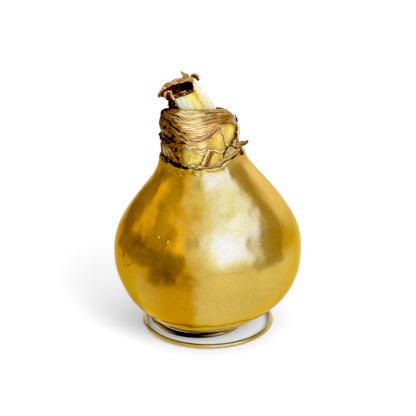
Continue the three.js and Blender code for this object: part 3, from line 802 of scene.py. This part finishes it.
# Loose bands on the neck: knots (angle, height), half width, lift off the flesh, then their marks.
strandGrid = (14, 90, 0.35)
strands = {
    "slantStrip": {"line": [(15, 99), (10, 96.6), (4, 93.6), (-2, 90.6)], "pale": 0.25, "cup": 0.2,
        "halfWidth": [(0, 0.95), (0.5, 0.8), (1, 0.7)], "lift": [(0, 0.2), (1, 0.3)]},
    "narrowStrip": {"line": [(22, 98.6), (15, 95.4), (8, 91.8), (3, 89.8)],
        "halfWidth": [(0, 0.4), (1, 0.3)], "lift": [(0, 0.3), (1, 0.5)], "cup": 0.2, "honey": 0.8},
    "dividingStrand": {"line": [(28, 105.2), (35, 105.6), (40, 104.2), (44, 101.8), (47, 99.6), (52, 98.2)],
        "halfWidth": [(0, 0.8), (0.3, 0.6), (1, 0.7)], "lift": [(0, 0.1), (1, 0.1)], "cup": -0.1,
        "honey": 0.1, "edge": 0.25},
    "lowerFold": {"line": [(-30, 100.6), (-16, 99.3), (-4, 97.9), (5, 97.5), (13, 98.3), (22, 98.5),
        (32, 97), (41, 97.4)], "halfWidth": [(0, 0.2), (0.3, 0.5), (0.6, 0.35), (0.8, 0.55), (1, 0.3)],
        "lift": [(0, 0.35), (1, 0.4)], "cup": -0.2, "pale": 0.45},
    "innerFold": {"line": [(-12, 98.7), (-2, 97.3), (6, 96.9), (12, 97.5)], "lift": [(0, 0.2), (1, 0.3)],
        "halfWidth": [(0, 0.15), (0.5, 0.35), (1, 0.2)], "cup": -0.1, "pale": 0.7},
    "rightCurl": {"line": [(75, 98.6), (77, 101), (78, 103), (79, 105)], "lift": [(0, 0.2), (1, 0.4)],
        "halfWidth": [(0, 0.8), (0.5, 3), (1, 0.9)], "cup": 0.3, "pale": 0.8, "edge": 0.7, "base": 0.8},
    "paleCurl": {"line": [(-19, 89.8), (-16, 91), (-12, 91.9), (-8, 91.2)], "cup": 0.4, "pale": 0.6,
        "halfWidth": [(0, 0.35), (0.5, 0.45), (1, 0.3)], "lift": [(0, 0.3), (0.5, 0.8), (1, 0.3)]},
    "rimCurl": {"line": [(-9, 90.2), (-5, 91.3), (0, 91.2), (4, 90.2)], "cup": 0.5, "pale": 0.8,
        "halfWidth": [(0, 0.3), (0.5, 0.6), (1, 0.4)], "lift": [(0, 0.3), (0.5, 0.9), (1, 0.4)]},
    # a near-black curl along the wax rim: painted shadow of the gap under the left scale
    "shadowCurl": {"line": [(-62, 92.6), (-54, 92.1), (-45, 91.2), (-35, 90.7), (-25, 90), (-18, 90.2)],
        "halfWidth": [(0, 0.5), (0.4, 0.9), (1, 0.5)], "lift": [(0, 0.5), (0.5, 0.9), (1, 0.5)], "cup": 0.5,
        "dark": 1.0, "honey": 1.0, "wrinkle": 0.9},
    "leftCurl": {"line": [(-77, 98), (-75, 95.6), (-72, 93.4), (-70, 91.6)],
        "halfWidth": [(0, 0.5), (1, 0.6)], "lift": [(0, 0.6), (1, 0.9)], "cup": 0.3, "pale": 0.1,
        "honey": 0.4},
    "topFlake": {"line": [(84, 108), (88, 109.2), (93, 110.2)], "halfWidth": [(0, 1.2), (1, 0.7)],
        "lift": [(0, -0.2), (1, 0.5)], "cup": 0.3, "honey": 1.0, "dark": 0.35, "base": 0.8},
    "sideFlake": {"line": [(88, 105.2), (91, 106.2), (94, 107.4)], "halfWidth": [(0, 0.7), (1, 0.4)],
        "lift": [(0, -0.1), (1, 0.8)], "cup": 0.3, "honey": 1.0, "dark": 0.9, "base": 0.9},
}


def strandPoint(look):
    follow = follower([(angle * perDegree, h) for angle, h in look["line"]])
    dark, honey, pale = (look.get(word, 0.0) for word in ("dark", "honey", "pale"))

    def place(u, v):
        middle, ahead = follow(v)
        ragged = 1 + 0.6 * rough(v * 9, 2 * (u > 0.5) + look["halfWidth"][0][1] * 9, 1, 3)
        spot = middle + Vector((ahead.z, 0, -ahead.x)) * (2 * u - 1) * along(look["halfWidth"], v) * ragged
        angle, h = spot.x / perDegree, spot.z
        away = abs(2 * u - 1)
        lift = along(look["lift"], v) + look["cup"] * away ** 2 + look.get("base", 0)
        lift += look.get("wrinkle", 0.3) * roughAt(skin(angle, h) / 10, 5, 5)
        marks = scaleMarks(u * 0.6, look.get("edge", 0.9) * smooth(away, 0.35, 0.9), dark, honey, pale)
        return skin(angle, h, fleshDepth(h) - 0.9 - max(lift, -0.2)), marks
    return place


flapLook = {
    "from": 38, "to": 84, "grid": (120, 70, 0.4), "foot": 94, "top": [(38, 95.6), (42, 97.7), (48, 98.9),
        (55, 99.9), (66, 101), (76, 102.8), (84, 102)],
    "creases": [([(38, 95.8), (42, 97.5), (48, 98.7), (54, 99), (60, 98), (67, 96.2), (73, 95.8)], 0.5),
        ([(72, 101.4), (73, 99), (72, 97.2), (71, 96)], 0.5), ([(76, 99.6), (74, 97.6), (71, 96)], 0.3),
        ([(54, 99), (60, 100)], 0.3)],
}


def flapPoint(u, v):
    look = flapLook
    angle = mix(look["from"], look["to"], u)
    h = mix(look["foot"], along(look["top"], angle) + 0.3 * rough(angle / 4, 1, 1, 2), v)
    p = skin(angle, h) / 10
    lift = 0.9 * smooth(angle, 66, 82) + 0.35 * smooth(v, 0.8, 1) + 0.35 * roughAt(p, 4, 4)
    ink = inked(angle, h, look["creases"])
    ridge, valley = pleats(u * 4 + 0.8 * v + 0.3 * roughAt(p, 3, 3, 2))
    marks = scaleMarks(u, max(0.6 * valley, ink, smooth(v, 0.93, 1)), 0.45 * ink, 0.4 + 0.5 * ink, 0.0)
    return skin(angle, h, fleshDepth(h) - 0.9 - lift - 0.2 * ridge - 0.35 * ink), marks


# Leaves on top. First the stub of the cut leaf.
stubLook = {"grid": (96, 60), "x": -8.8, "y": 5, "foot": 112.2, "rootDepth": 6, "height": 7.4, "lean": -3,
            "halfWidth": 5.6, "halfDepth": 2.6, "taper": 0.02, "slope": 0.34, "sides": 0.75, "rootEnd": 0.03}
# Leaves like ribbons: knots (x, z), depth (y), half width, how far the edge cups.
ribbons = {
    "whiteBlade": {"line": [(-2, 106.2), (-2, 111.5), (-3.2, 118), (-5.2, 122.6), (-7, 125.4),
        (-8.1, 127.1), (-7.3, 128.3), (-5.8, 127.5), (-4.4, 125.8)],
        "depth": [(0, 8.7), (0.5, 8.6), (1, 8.4)], "cup": -2.2, "halfWidth": [(0, 5.8), (0.19, 6),
        (0.43, 3.6), (0.61, 2.1), (0.73, 1.3), (0.8, 0.85), (0.85, 0.8), (0.9, 1.2), (0.95, 1.15), (1, 0.4)],
        "grid": (30, 120, 1.0), "crumple": 0.15, "ragged": 0.08},
    "witheredStalk": {"line": [(-16.4, 106.2), (-16.8, 112), (-18.6, 117.5), (-19.2, 121)], "cup": 0,
        "depth": [(0, 4.7), (0.3, 4.5), (0.6, 3.4), (1, 2.4)],
        "halfWidth": [(0, 1.4), (0.42, 1.9), (0.75, 1.2), (1, 2)], "grid": (16, 60, 0.7), "crumple": 0.4,
        "ragged": 0.5},
    "upperCurl": {"line": [(-20.9, 119.2), (-20.9, 121.4), (-19.7, 122.9), (-18, 122.5)], "cup": 0,
        "depth": [(0, -0.4), (1, -1.2)], "halfWidth": [(0, 0.45), (0.5, 0.3), (1, 0.2)],
        "grid": (10, 50, 0.4), "crumple": 0.4, "ragged": 0.5},
    "lowerCurl": {"line": [(-18, 122.8), (-17.7, 121), (-16.6, 119.2)], "cup": 0,
        "depth": [(0, -1.2), (1, -0.9)], "halfWidth": [(0, 0.2), (0.5, 0.25), (1, 0.35)],
        "grid": (10, 50, 0.4), "crumple": 0.4, "ragged": 0.5},
    "witheredHorn": {"line": [(-10.2, 126.8), (-10.3, 128.8), (-11.4, 130.3), (-13.2, 131.7)], "cup": 0,
        "depth": [(0, 3), (1, 2.6)], "halfWidth": [(0, 1.2), (0.4, 1.05), (0.7, 0.75), (1, 0.2)],
        "grid": (16, 50, 0.6), "crumple": 0.5, "ragged": 0.4},
}


def stubPoint(u, v):
    s = stubLook
    turn = u * math.tau
    z = mix(s["foot"] - s["rootDepth"], s["foot"] + s["height"], clamp(v / s["sides"]))
    share = clamp((z - s["foot"]) / s["height"])
    inward = clamp((v - s["sides"]) / (1 - s["sides"]))
    shrink = (1 - s["taper"] * share) * (1 - inward) * min(v / s["rootEnd"], 1)
    x = s["halfWidth"] * shrink * math.cos(turn)
    y = s["halfDepth"] * shrink * (1 + 0.12 * math.cos(2 * turn)) * math.sin(turn)
    z += s["slope"] * share * x - 0.9 * smooth(inward, 0, 1)
    z += 0.15 * math.sin(turn * 9) * share * (1 - inward)
    rib = 1 + 0.12 * rough(x * 0.5, y * 0.8, z * 0.05, 2) * (1 - inward)
    marks = {"cut": inward, "side": 0.5 + 0.5 * math.cos(turn), "rise": share}
    return (s["x"] + s["lean"] * share + x * rib, s["y"] + y * rib, z), marks


def ribbonPoint(leaf):
    follow = follower(leaf["line"])

    def place(u, v):
        point, ahead = follow(v)
        width = along(leaf["halfWidth"], v) * (1 + leaf["ragged"] * rough(v * 9, 3 * (u > 0.5), 1, 3))
        point += Vector((ahead.z, 0, -ahead.x)) * (2 * u - 1) * width
        point.y = along(leaf["depth"], v) + leaf["cup"] * u ** 2 * (1 - v)
        bump = leaf["crumple"] * rough(point.x * 0.7, u * 2, point.z * 0.7, 3)
        return point + Vector((0.5 * bump, bump, 0.5 * bump)), {"across": u, "up": v}
    return place


hoodLook = {
    "grid": (150, 140, 0.6), "left": -24.2, "right": -7.3, "y": 3.4, "crumple": 0.8,
    "from": [(0, 352), (0.5, 346), (1, 338)], "to": [(0, 30), (0.5, 43), (1, 54)], "middle": [(-24.2, 119.9),
        (-21.2, 122.2), (-15.3, 123.4), (-10.5, 124.6), (-7.3, 125)], "reach": [(-24.2, 1.2), (-21.2, 3.1),
        (-15.3, 4.3), (-10.5, 4.3), (-7.3, 3.2)],
}


def hoodPoint(u, v):
    look = hoodLook
    x = mix(look["left"], look["right"], v)
    torn = 14 * rough(x * 0.6, 2 * (u > 0.5), 7, 3)
    turn = mix(along(look["from"], v), along(look["to"], v), u) + torn * (2 * abs(u - 0.5)) ** 3

    def spot(radius):
        z = along(look["middle"], x) + radius * math.sin(math.radians(turn))
        return Vector((x, look["y"] - radius * math.cos(math.radians(turn)), z))

    ripple = 0.3 * wave(turn, 5, 9 * x) + 0.25 * wave(x, 80, 2 * turn)
    radius = along(look["reach"], x) + ripple * smooth(v, 0, 0.2)
    plain = spot(radius)
    bend = look["crumple"] * roughAt(plain, 0.5, 0.5) + 0.3 * roughAt(plain, 1.4, 1.4, 2)
    fold, valley = pleats(x * 0.16 + turn / 50 + 0.6 * roughAt(plain, 0.3, 0.3, 2), 0.16)
    calm = 1 - 0.55 * smooth(u, 0.6, 0.78)
    radius += bend * calm + 0.45 * (fold - 0.6) * smooth(v, 0, 0.1) * calm
    marks = {"brim": smooth(u, 0.66, 0.8), "lip": 1 - smooth(u, 0.05, 0.24), "crease": valley * calm,
             "left": 1 - v}
    return spot(radius) + Vector((0.4 * bend, 0, 0)), marks


def deadLeafFinish():
    f = newFinish("deadLeaf")
    brim, lip, crease = f.marks("brim", "lip", "crease")
    mottle = f.cloud(f.place(), 420, 4, 0.65)
    lines = f.cloud(f.stretched(0.3, 1, 1), 1300, 3, 0.6)
    shine = f.remap(lines * 0.6 + mottle * 0.4, 0.34, 0.62)
    colour = f.shades(f.remap(mottle, 0.32, 0.68), (0.0, 36, 18, 8), (0.5, 78, 42, 20), (1.0, 134, 78, 42))
    tan = f.shades(shine, (0.0, 106, 64, 24), (0.4, 156, 110, 52), (0.8, 190, 150, 92), (1.0, 212, 186, 144))
    pink = f.shades(shine, (0.0, 46, 20, 10), (0.5, 92, 46, 22), (0.8, 140, 88, 50), (1.0, 200, 162, 116))
    colour = f.blend(f.remap(lip + (mottle - 0.5) * 0.5, 0.3, 0.6), colour, pink)
    colour = f.blend(f.remap(brim + (mottle - 0.5) * 0.5, 0.3, 0.6), colour, tan)
    # painted shade: the fold valleys darkened
    colour = f.blend(crease * 0.7, colour, tone(40, 18, 8))
    return f.surface(colour, f.spread(mottle, 0.5, 0.75), Specular_IOR_Level=0.15,
                     Normal=f.bump(lines, 0.0003, 0.6))


def hoodShadeFinish():
    f = newFinish("hoodShade")
    mottle = f.cloud(f.place(), 520, 3, 0.6)
    bits = f.remap(mottle + f.marks("left")[0] * 0.3, 0.56, 0.76)
    # near black with brown bits on the left: painted shade inside the hood
    colour = f.blend(bits, tone(16, 9, 6), tone(124, 72, 32))
    return f.surface(colour, 0.8, Specular_IOR_Level=0.05, Normal=f.bump(mottle, 0.0004, 0.6))


# The faces that look towards the middle of the hood get the second finish: near black, painted shade in the
# hollow, with brown bits.
def shadeInside(hood):
    look = hoodLook
    hood.data.materials.append(hoodShadeFinish())
    for face in hood.data.polygons:
        x, y, z = face.center * 1000
        middle = along(look["middle"], clamp(x, look["left"], look["right"]))
        face.material_index = int(face.normal.dot(Vector((0, y - look["y"], z - middle))) < 0)


def cutLeafFinish():
    f = newFinish("cutLeaf")
    side, rise, cut = f.marks("side", "rise", "cut")
    veins = f.cloud(f.stretched(1, 1, 0.08), 900, 3, 0.6)
    side = side + (veins - 0.5) * 0.06 + rise * 0.22 - 0.12
    colour = f.shades(side, (0.0, 170, 138, 60), (0.04, 204, 194, 132), (0.14, 216, 215, 196),
                      (0.5, 212, 213, 184), (0.7, 206, 203, 136), (0.92, 206, 192, 104),
                      (0.98, 198, 166, 50), (1.0, 190, 148, 30))
    colour = f.layered(colour, (cut * 0.6, 190, 150, 70), (f.remap(veins, 0.5, 0.75) * 0.3, 188, 194, 128))
    return f.surface(colour, 0.42, Normal=f.bump(veins, 0.00015, 0.4))


def whiteLeafFinish():
    f = newFinish("whiteLeaf")
    across, up = f.marks("across", "up")
    veins = f.cloud(f.stretched(1, 1, 0.08), 1100, 3, 0.6)
    side = across - (1 - f.remap(up, 0.15, 0.6)) * 0.42
    colour = f.shades(side, (0.0, 204, 188, 116), (0.14, 220, 213, 160), (0.34, 232, 229, 204),
                      (0.7, 243, 242, 234), (1.0, 248, 248, 244))
    colour = f.blend(f.remap(veins, 0.5, 0.8) * 0.3, colour, tone(200, 190, 148))
    tip = f.remap(up + (veins - 0.5) * 0.04, 0.815, 0.84)
    dead = f.blend(f.remap(across + (veins - 0.5) * 0.4, 0.22, 0.36), tone(178, 112, 44), tone(34, 20, 8))
    return f.surface(f.blend(tip, colour, dead), 0.5, Normal=f.bump(veins, 0.0002, 0.5))


def stalkFinish(name, low, high):
    f = newFinish(name)
    veins = f.cloud(f.stretched(1, 1, 0.15), 1000, 4, 0.6)
    colour = f.ramp(f.remap(veins + (f.marks("up")[0] - 0.5) * 0.2, 0.3, 0.7), (0.0, low), (1.0, high))
    return f.surface(colour, 0.5, Normal=f.bump(veins, 0.0003, 0.6))


# The room: camera, floor and light.
room = {
    "cameraDistance": 0.7, "cameraLift": 21.46, "lookHeight": 0.0621, "lens": 121.15, "floorSize": 6.0,
    "fill": 1.09, "domeRadius": 2.9, "blackLevel": 0.03, "floorGlow": 0.25, "keyAzimuth": 38,
    "keyHeight": 34, "keyDistance": 1.1, "keyWidth": 0.6, "keyTall": 0.45, "keyEnergy": 9.5, "keyAim": 0.05,
    "cardHeight": 0.0002, "cardStep": 0.0001,
}
# What the wax mirrors, in layers: azimuth from and to, height from and to, softness, brightness.
mirrored = [
    (58, 92, -14, 26, 4, 0.74), (86, 120, 6, 37, 5, 0.76), (100, 152, -12, 8, 6, 1.2),
    (-31, -9, -32, 34, 4, 1.36), (-52, -33, 17, 43, 3, 1.6), (-66, -33, -34, 18, 4, 0.56),
    (-92, -62, 12, 44, 4, 0.95), (-126, -66, -16, 12, 5, 0.62), (-117, -92, 16, 32, 4, 1.6),
    (-152, -117, -16, 26, 5, 0.5),
]
# The soft box among them, in degrees: a pale side panel, and a core whose white outshines the yellow wax.
softBox = {
    "left": -8, "right": 60.5, "rightTop": 92, "rightRise": (26, 44), "edge": (-4, 7), "panel": 0.33,
    "panelRise": (6, 24), "coreFrom": -2, "coreFull": 16, "coreFoot": (-1, 13), "lift": (24, 38),
    "gap": (47.5, 54.5), "gapDepth": 0.68, "end": (62, 75), "dimSide": (38, 56), "dimRise": (38, 46),
    "blotch": 0.75, "blotchSides": (4, 30, 6), "blotchHeights": (61, 72, 3), "strength": 11,
    "tones": [(0.0, (0.11, 0.11, 0.11, 1)), (0.33, (0.128, 0.145, 0.2, 1)), (0.5, (0.144, 0.183, 0.28, 1)),
        (0.75, (0.154, 0.212, 0.52, 1)), (1.0, (0.156, 0.221, 0.93, 1))],
}
# Cards on the floor for the mirror image alone: azimuth and distance (metres) from and to, brightness.
floorCards = [(-80, 80, 0.026, 0.075, 1.25), (57, 92, 0.21, 2.5, 0.67), (-66, -31, 0.115, 2.5, 0.56),
              (-128, -66, 0.2, 2.5, 0.62), (-8, 57, 0.22, 2.5, 1.25)]


def facing(azimuth, height, distance):
    a, e = math.radians(azimuth), math.radians(height)
    return Vector((math.sin(a) * math.cos(e), -math.cos(a) * math.cos(e), math.sin(e))) * distance


def makeCamera():
    lift = math.radians(room["cameraLift"])
    bpy.ops.object.camera_add(rotation=(math.pi / 2 - lift, 0, 0))
    camera = bpy.context.object
    camera.location = facing(0, room["cameraLift"], room["cameraDistance"])
    camera.location.z += room["lookHeight"]
    camera.data.lens = room["lens"]
    camera.data.sensor_width = 36
    bpy.context.scene.camera = camera


def makeFloor():
    bpy.ops.mesh.primitive_plane_add(size=room["floorSize"])
    floor = bpy.context.object
    floor.name = "paleFloor"
    f = newFinish("paleFloor")
    tint = f.blend(f.cloud(f.place(), 3, 2), tone(217, 217, 217), tone(219, 219, 219))
    floor.data.materials.append(f.surface(tint, 0.9, Emission_Color=(1, 1, 1, 1),
                                          Emission_Strength=room["floorGlow"]))


def makeKeyLight():
    centre = Vector((0, 0, room["keyAim"]))
    bpy.ops.object.light_add(type="AREA")
    light = bpy.context.object
    light.name = "softBox"
    light.location = centre + facing(room["keyAzimuth"], room["keyHeight"], room["keyDistance"])
    light.rotation_euler = (centre - light.location).to_track_quat("-Z", "Y").to_euler()
    light.data.shape = "RECTANGLE"
    light.data.size = room["keyWidth"]
    light.data.size_y = room["keyTall"]
    light.data.energy = room["keyEnergy"]
    return light


def makeFill():
    world = bpy.context.scene.world or bpy.data.worlds.new("studio")
    bpy.context.scene.world = world
    f = Finish(world)
    f = Finish(world)
    seen = f.node("ShaderNodeLightPath", {}, {}, "Is Camera Ray")
    f.outcome("ShaderNodeBackground", "ShaderNodeOutputWorld", Color=(1, 1, 1, 1),
              Strength=room["fill"] + (1 - room["fill"]) * seen)


def mirrorOnly(piece, finish):
    finish.cycles.emission_sampling = "NONE"
    piece.data.materials.append(finish)
    piece.visible_camera = False
    piece.visible_diffuse = False
    piece.visible_shadow = False
    piece.visible_transmission = False


# How much of the soft box is seen each way, from 0 to 1.
def boxShare(f, azimuth, height, within):
    box = softBox
    lift = f.remap(height, *box["lift"])
    core = f.remap(azimuth, box["coreFrom"] - 6 * lift, box["coreFull"] - 8 * lift)
    core = core * f.remap(height, *box["coreFoot"])
    right = box["right"] + (box["rightTop"] - box["right"]) * f.remap(height, *box["rightRise"])
    share = box["panel"] + 0.12 * f.remap(height, *box["panelRise"]) + 0.12 * lift
    share = share + (1 - share) * core
    share = share * (1 - box["gapDepth"] * f.remap(height, *box["gap"]))
    share = share * f.remap(azimuth, box["left"] - 2, box["left"] + 2)
    share = share * (1 - f.remap(azimuth - right, *box["edge"]))
    dim = 0.05 + 0.3 * f.remap(height, *box["dimRise"])
    share = share * (1 - f.remap(height, *box["end"])) * (1 - dim * f.remap(azimuth, *box["dimSide"]))
    blotch = within(azimuth, *box["blotchSides"]) * within(height, *box["blotchHeights"])
    return share + box["blotch"] * blotch


def makeDome():
    bpy.ops.mesh.primitive_uv_sphere_add(segments=96, ring_count=48, radius=room["domeRadius"])
    dome = bpy.context.object
    dome.name = "studioDome"
    f = newFinish("studioDome")
    x, y, z = f.parts(f.node("ShaderNodeVectorMath", {"operation": "NORMALIZE"}, {0: f.place()}), "XYZ")
    azimuth = x.maths("ARCTAN2", x, y * -1) * math.degrees(1)
    height = z.maths("ARCSINE", z) * math.degrees(1)

    def within(value, low, high, soft):
        return f.remap(value, low - soft, low + soft) * (1 - f.remap(value, high - soft, high + soft))

    light = 0.6 + 0.8 * f.remap(height, 36, 48)
    behind = f.remap(azimuth, 106, 132) + (1 - f.remap(azimuth, -164, -146))
    light = light + (1.45 - light) * behind * (1 - f.remap(height, 30, 50))
    for left, right, low, high, soft, brightness in mirrored:
        inside = within(azimuth, left, right, soft) * within(height, low, high, soft)
        light = light + (brightness - light) * inside
    share = boxShare(f, azimuth, height, within)
    lit = f.node("ShaderNodeVectorMath", {"operation": "SCALE"},
                 {0: f.ramp(share, *softBox["tones"]), "Scale": softBox["strength"]})
    glow = f.blend(f.remap(share, 0, 0.3), f.grey(light), lit)
    mirrorOnly(dome, f.outcome("ShaderNodeEmission", Color=glow))
    return dome


def makeCards():
    for number, (left, right, near, far, brightness) in enumerate(floorCards):
        bpy.ops.mesh.primitive_grid_add(x_subdivisions=16, y_subdivisions=2, size=1)
        card = bpy.context.object
        card.name = "floorCard"
        for vertex in card.data.vertices:
            u, v = vertex.co.x + 0.5, vertex.co.y + 0.5
            vertex.co = facing(mix(left, right, u), 0, mix(near, far, v))
            vertex.co.z = room["cardHeight"] + room["cardStep"] * number
        f = newFinish("floorCard")
        mirrorOnly(card, f.outcome("ShaderNodeEmission", Color=(1, 1, 1, 1), Strength=brightness))


# The shiny pieces mirror the dome; the key light shines on all the rest.
def shareLight(dome, keyLight, shiny):
    mirrors = bpy.data.collections.new("mirrorsDome")
    unlit = bpy.data.collections.new("withoutKeyLight")
    for piece in shiny:
        mirrors.objects.link(piece)
        unlit.objects.link(piece)
    for entry in unlit.collection_objects:
        entry.light_linking.link_state = "EXCLUDE"
    dome.light_linking.receiver_collection = mirrors
    keyLight.light_linking.receiver_collection = unlit
    bpy.context.scene.cycles.caustics_reflective = False


def develop():
    view = bpy.context.scene.view_settings
    view.view_transform = "Standard"
    view.use_curve_mapping = True
    view.curve_mapping.black_level = [room["blackLevel"]] * 3
    view.curve_mapping.update()


makeCamera()
makeFloor()
keyLight = makeKeyLight()
makeFill()
dome = makeDome()
makeCards()
develop()
print("room ready")

waxCoat = mouldedRing("waxCoat", waxLook["grid"], waxPoint)
finished(waxCoat, goldWaxFinish(), "gold_wax", "wax_coat")

wireCoil = refinedCopy("wire_stand", "wireCoil", 2)
finished(wireCoil, steelFinish(), "wire_steel", "wire_stand")

bulbFlesh = mouldedBall("bulbFlesh", fleshLook["grid"], fleshPoint)
finished(bulbFlesh, fleshFinish(), "flesh", "bulb")

dryScale = dryScaleFinish()
paleScale = dryScaleFinish("paleScale", 0.15)
finished(mouldedRing("neckCollar", collarLook["grid"], collarPoint), dryScale, "dry_scale", "tunic_collar")
finished(mouldedSheet("leftScale", leftLook["grid"], leftPoint), dryScale, "dark_scale", "tunic_left")
finished(mouldedSheet("rimScale", rimLook["grid"], rimPoint), dryScale, "dry_scale", "tunic_rim")
finished(mouldedSheet("sideFlap", flapLook["grid"], flapPoint), paleScale, "pale_scale", "tunic_flap")
for name, look in strands.items():
    strand = mouldedSheet(name, strandGrid, strandPoint(look))
    finish, slot = (paleScale, "pale_scale") if "pale" in look else (dryScale, "dry_scale")
    finished(strand, finish, slot, *(["tunic_strip"] if name == "slantStrip" else []))

finished(mouldedBall("cutLeaf", stubLook["grid"], stubPoint), cutLeafFinish(), "cut_leaf", "leaf_stub")
witheredHood = mouldedSheet("witheredHood", hoodLook["grid"], hoodPoint)
finished(witheredHood, deadLeafFinish(), "dead_leaf", "withered_leaf")
shadeInside(witheredHood)
deadStalk = stalkFinish("deadStalk", tone(14, 9, 5), tone(84, 52, 22))
paleLip = stalkFinish("paleLip", tone(126, 78, 40), tone(220, 194, 150))
tanHorn = stalkFinish("tanHorn", tone(104, 74, 22), tone(188, 158, 90))
for name, finish, slot, *nodes in (
        ("witheredStalk", deadStalk, "dead_leaf", "withered_leaf"), ("upperCurl", paleLip, "dead_leaf"),
        ("lowerCurl", paleLip, "dead_leaf"), ("witheredHorn", tanHorn, "dead_leaf", "withered_leaf"),
        ("whiteBlade", whiteLeafFinish(), "white_leaf", "leaf_blade")):
    look = ribbons[name]
    finished(mouldedSheet(name, look["grid"], ribbonPoint(look)), finish, slot, *nodes)

shareLight(dome, keyLight, [waxCoat, wireCoil])
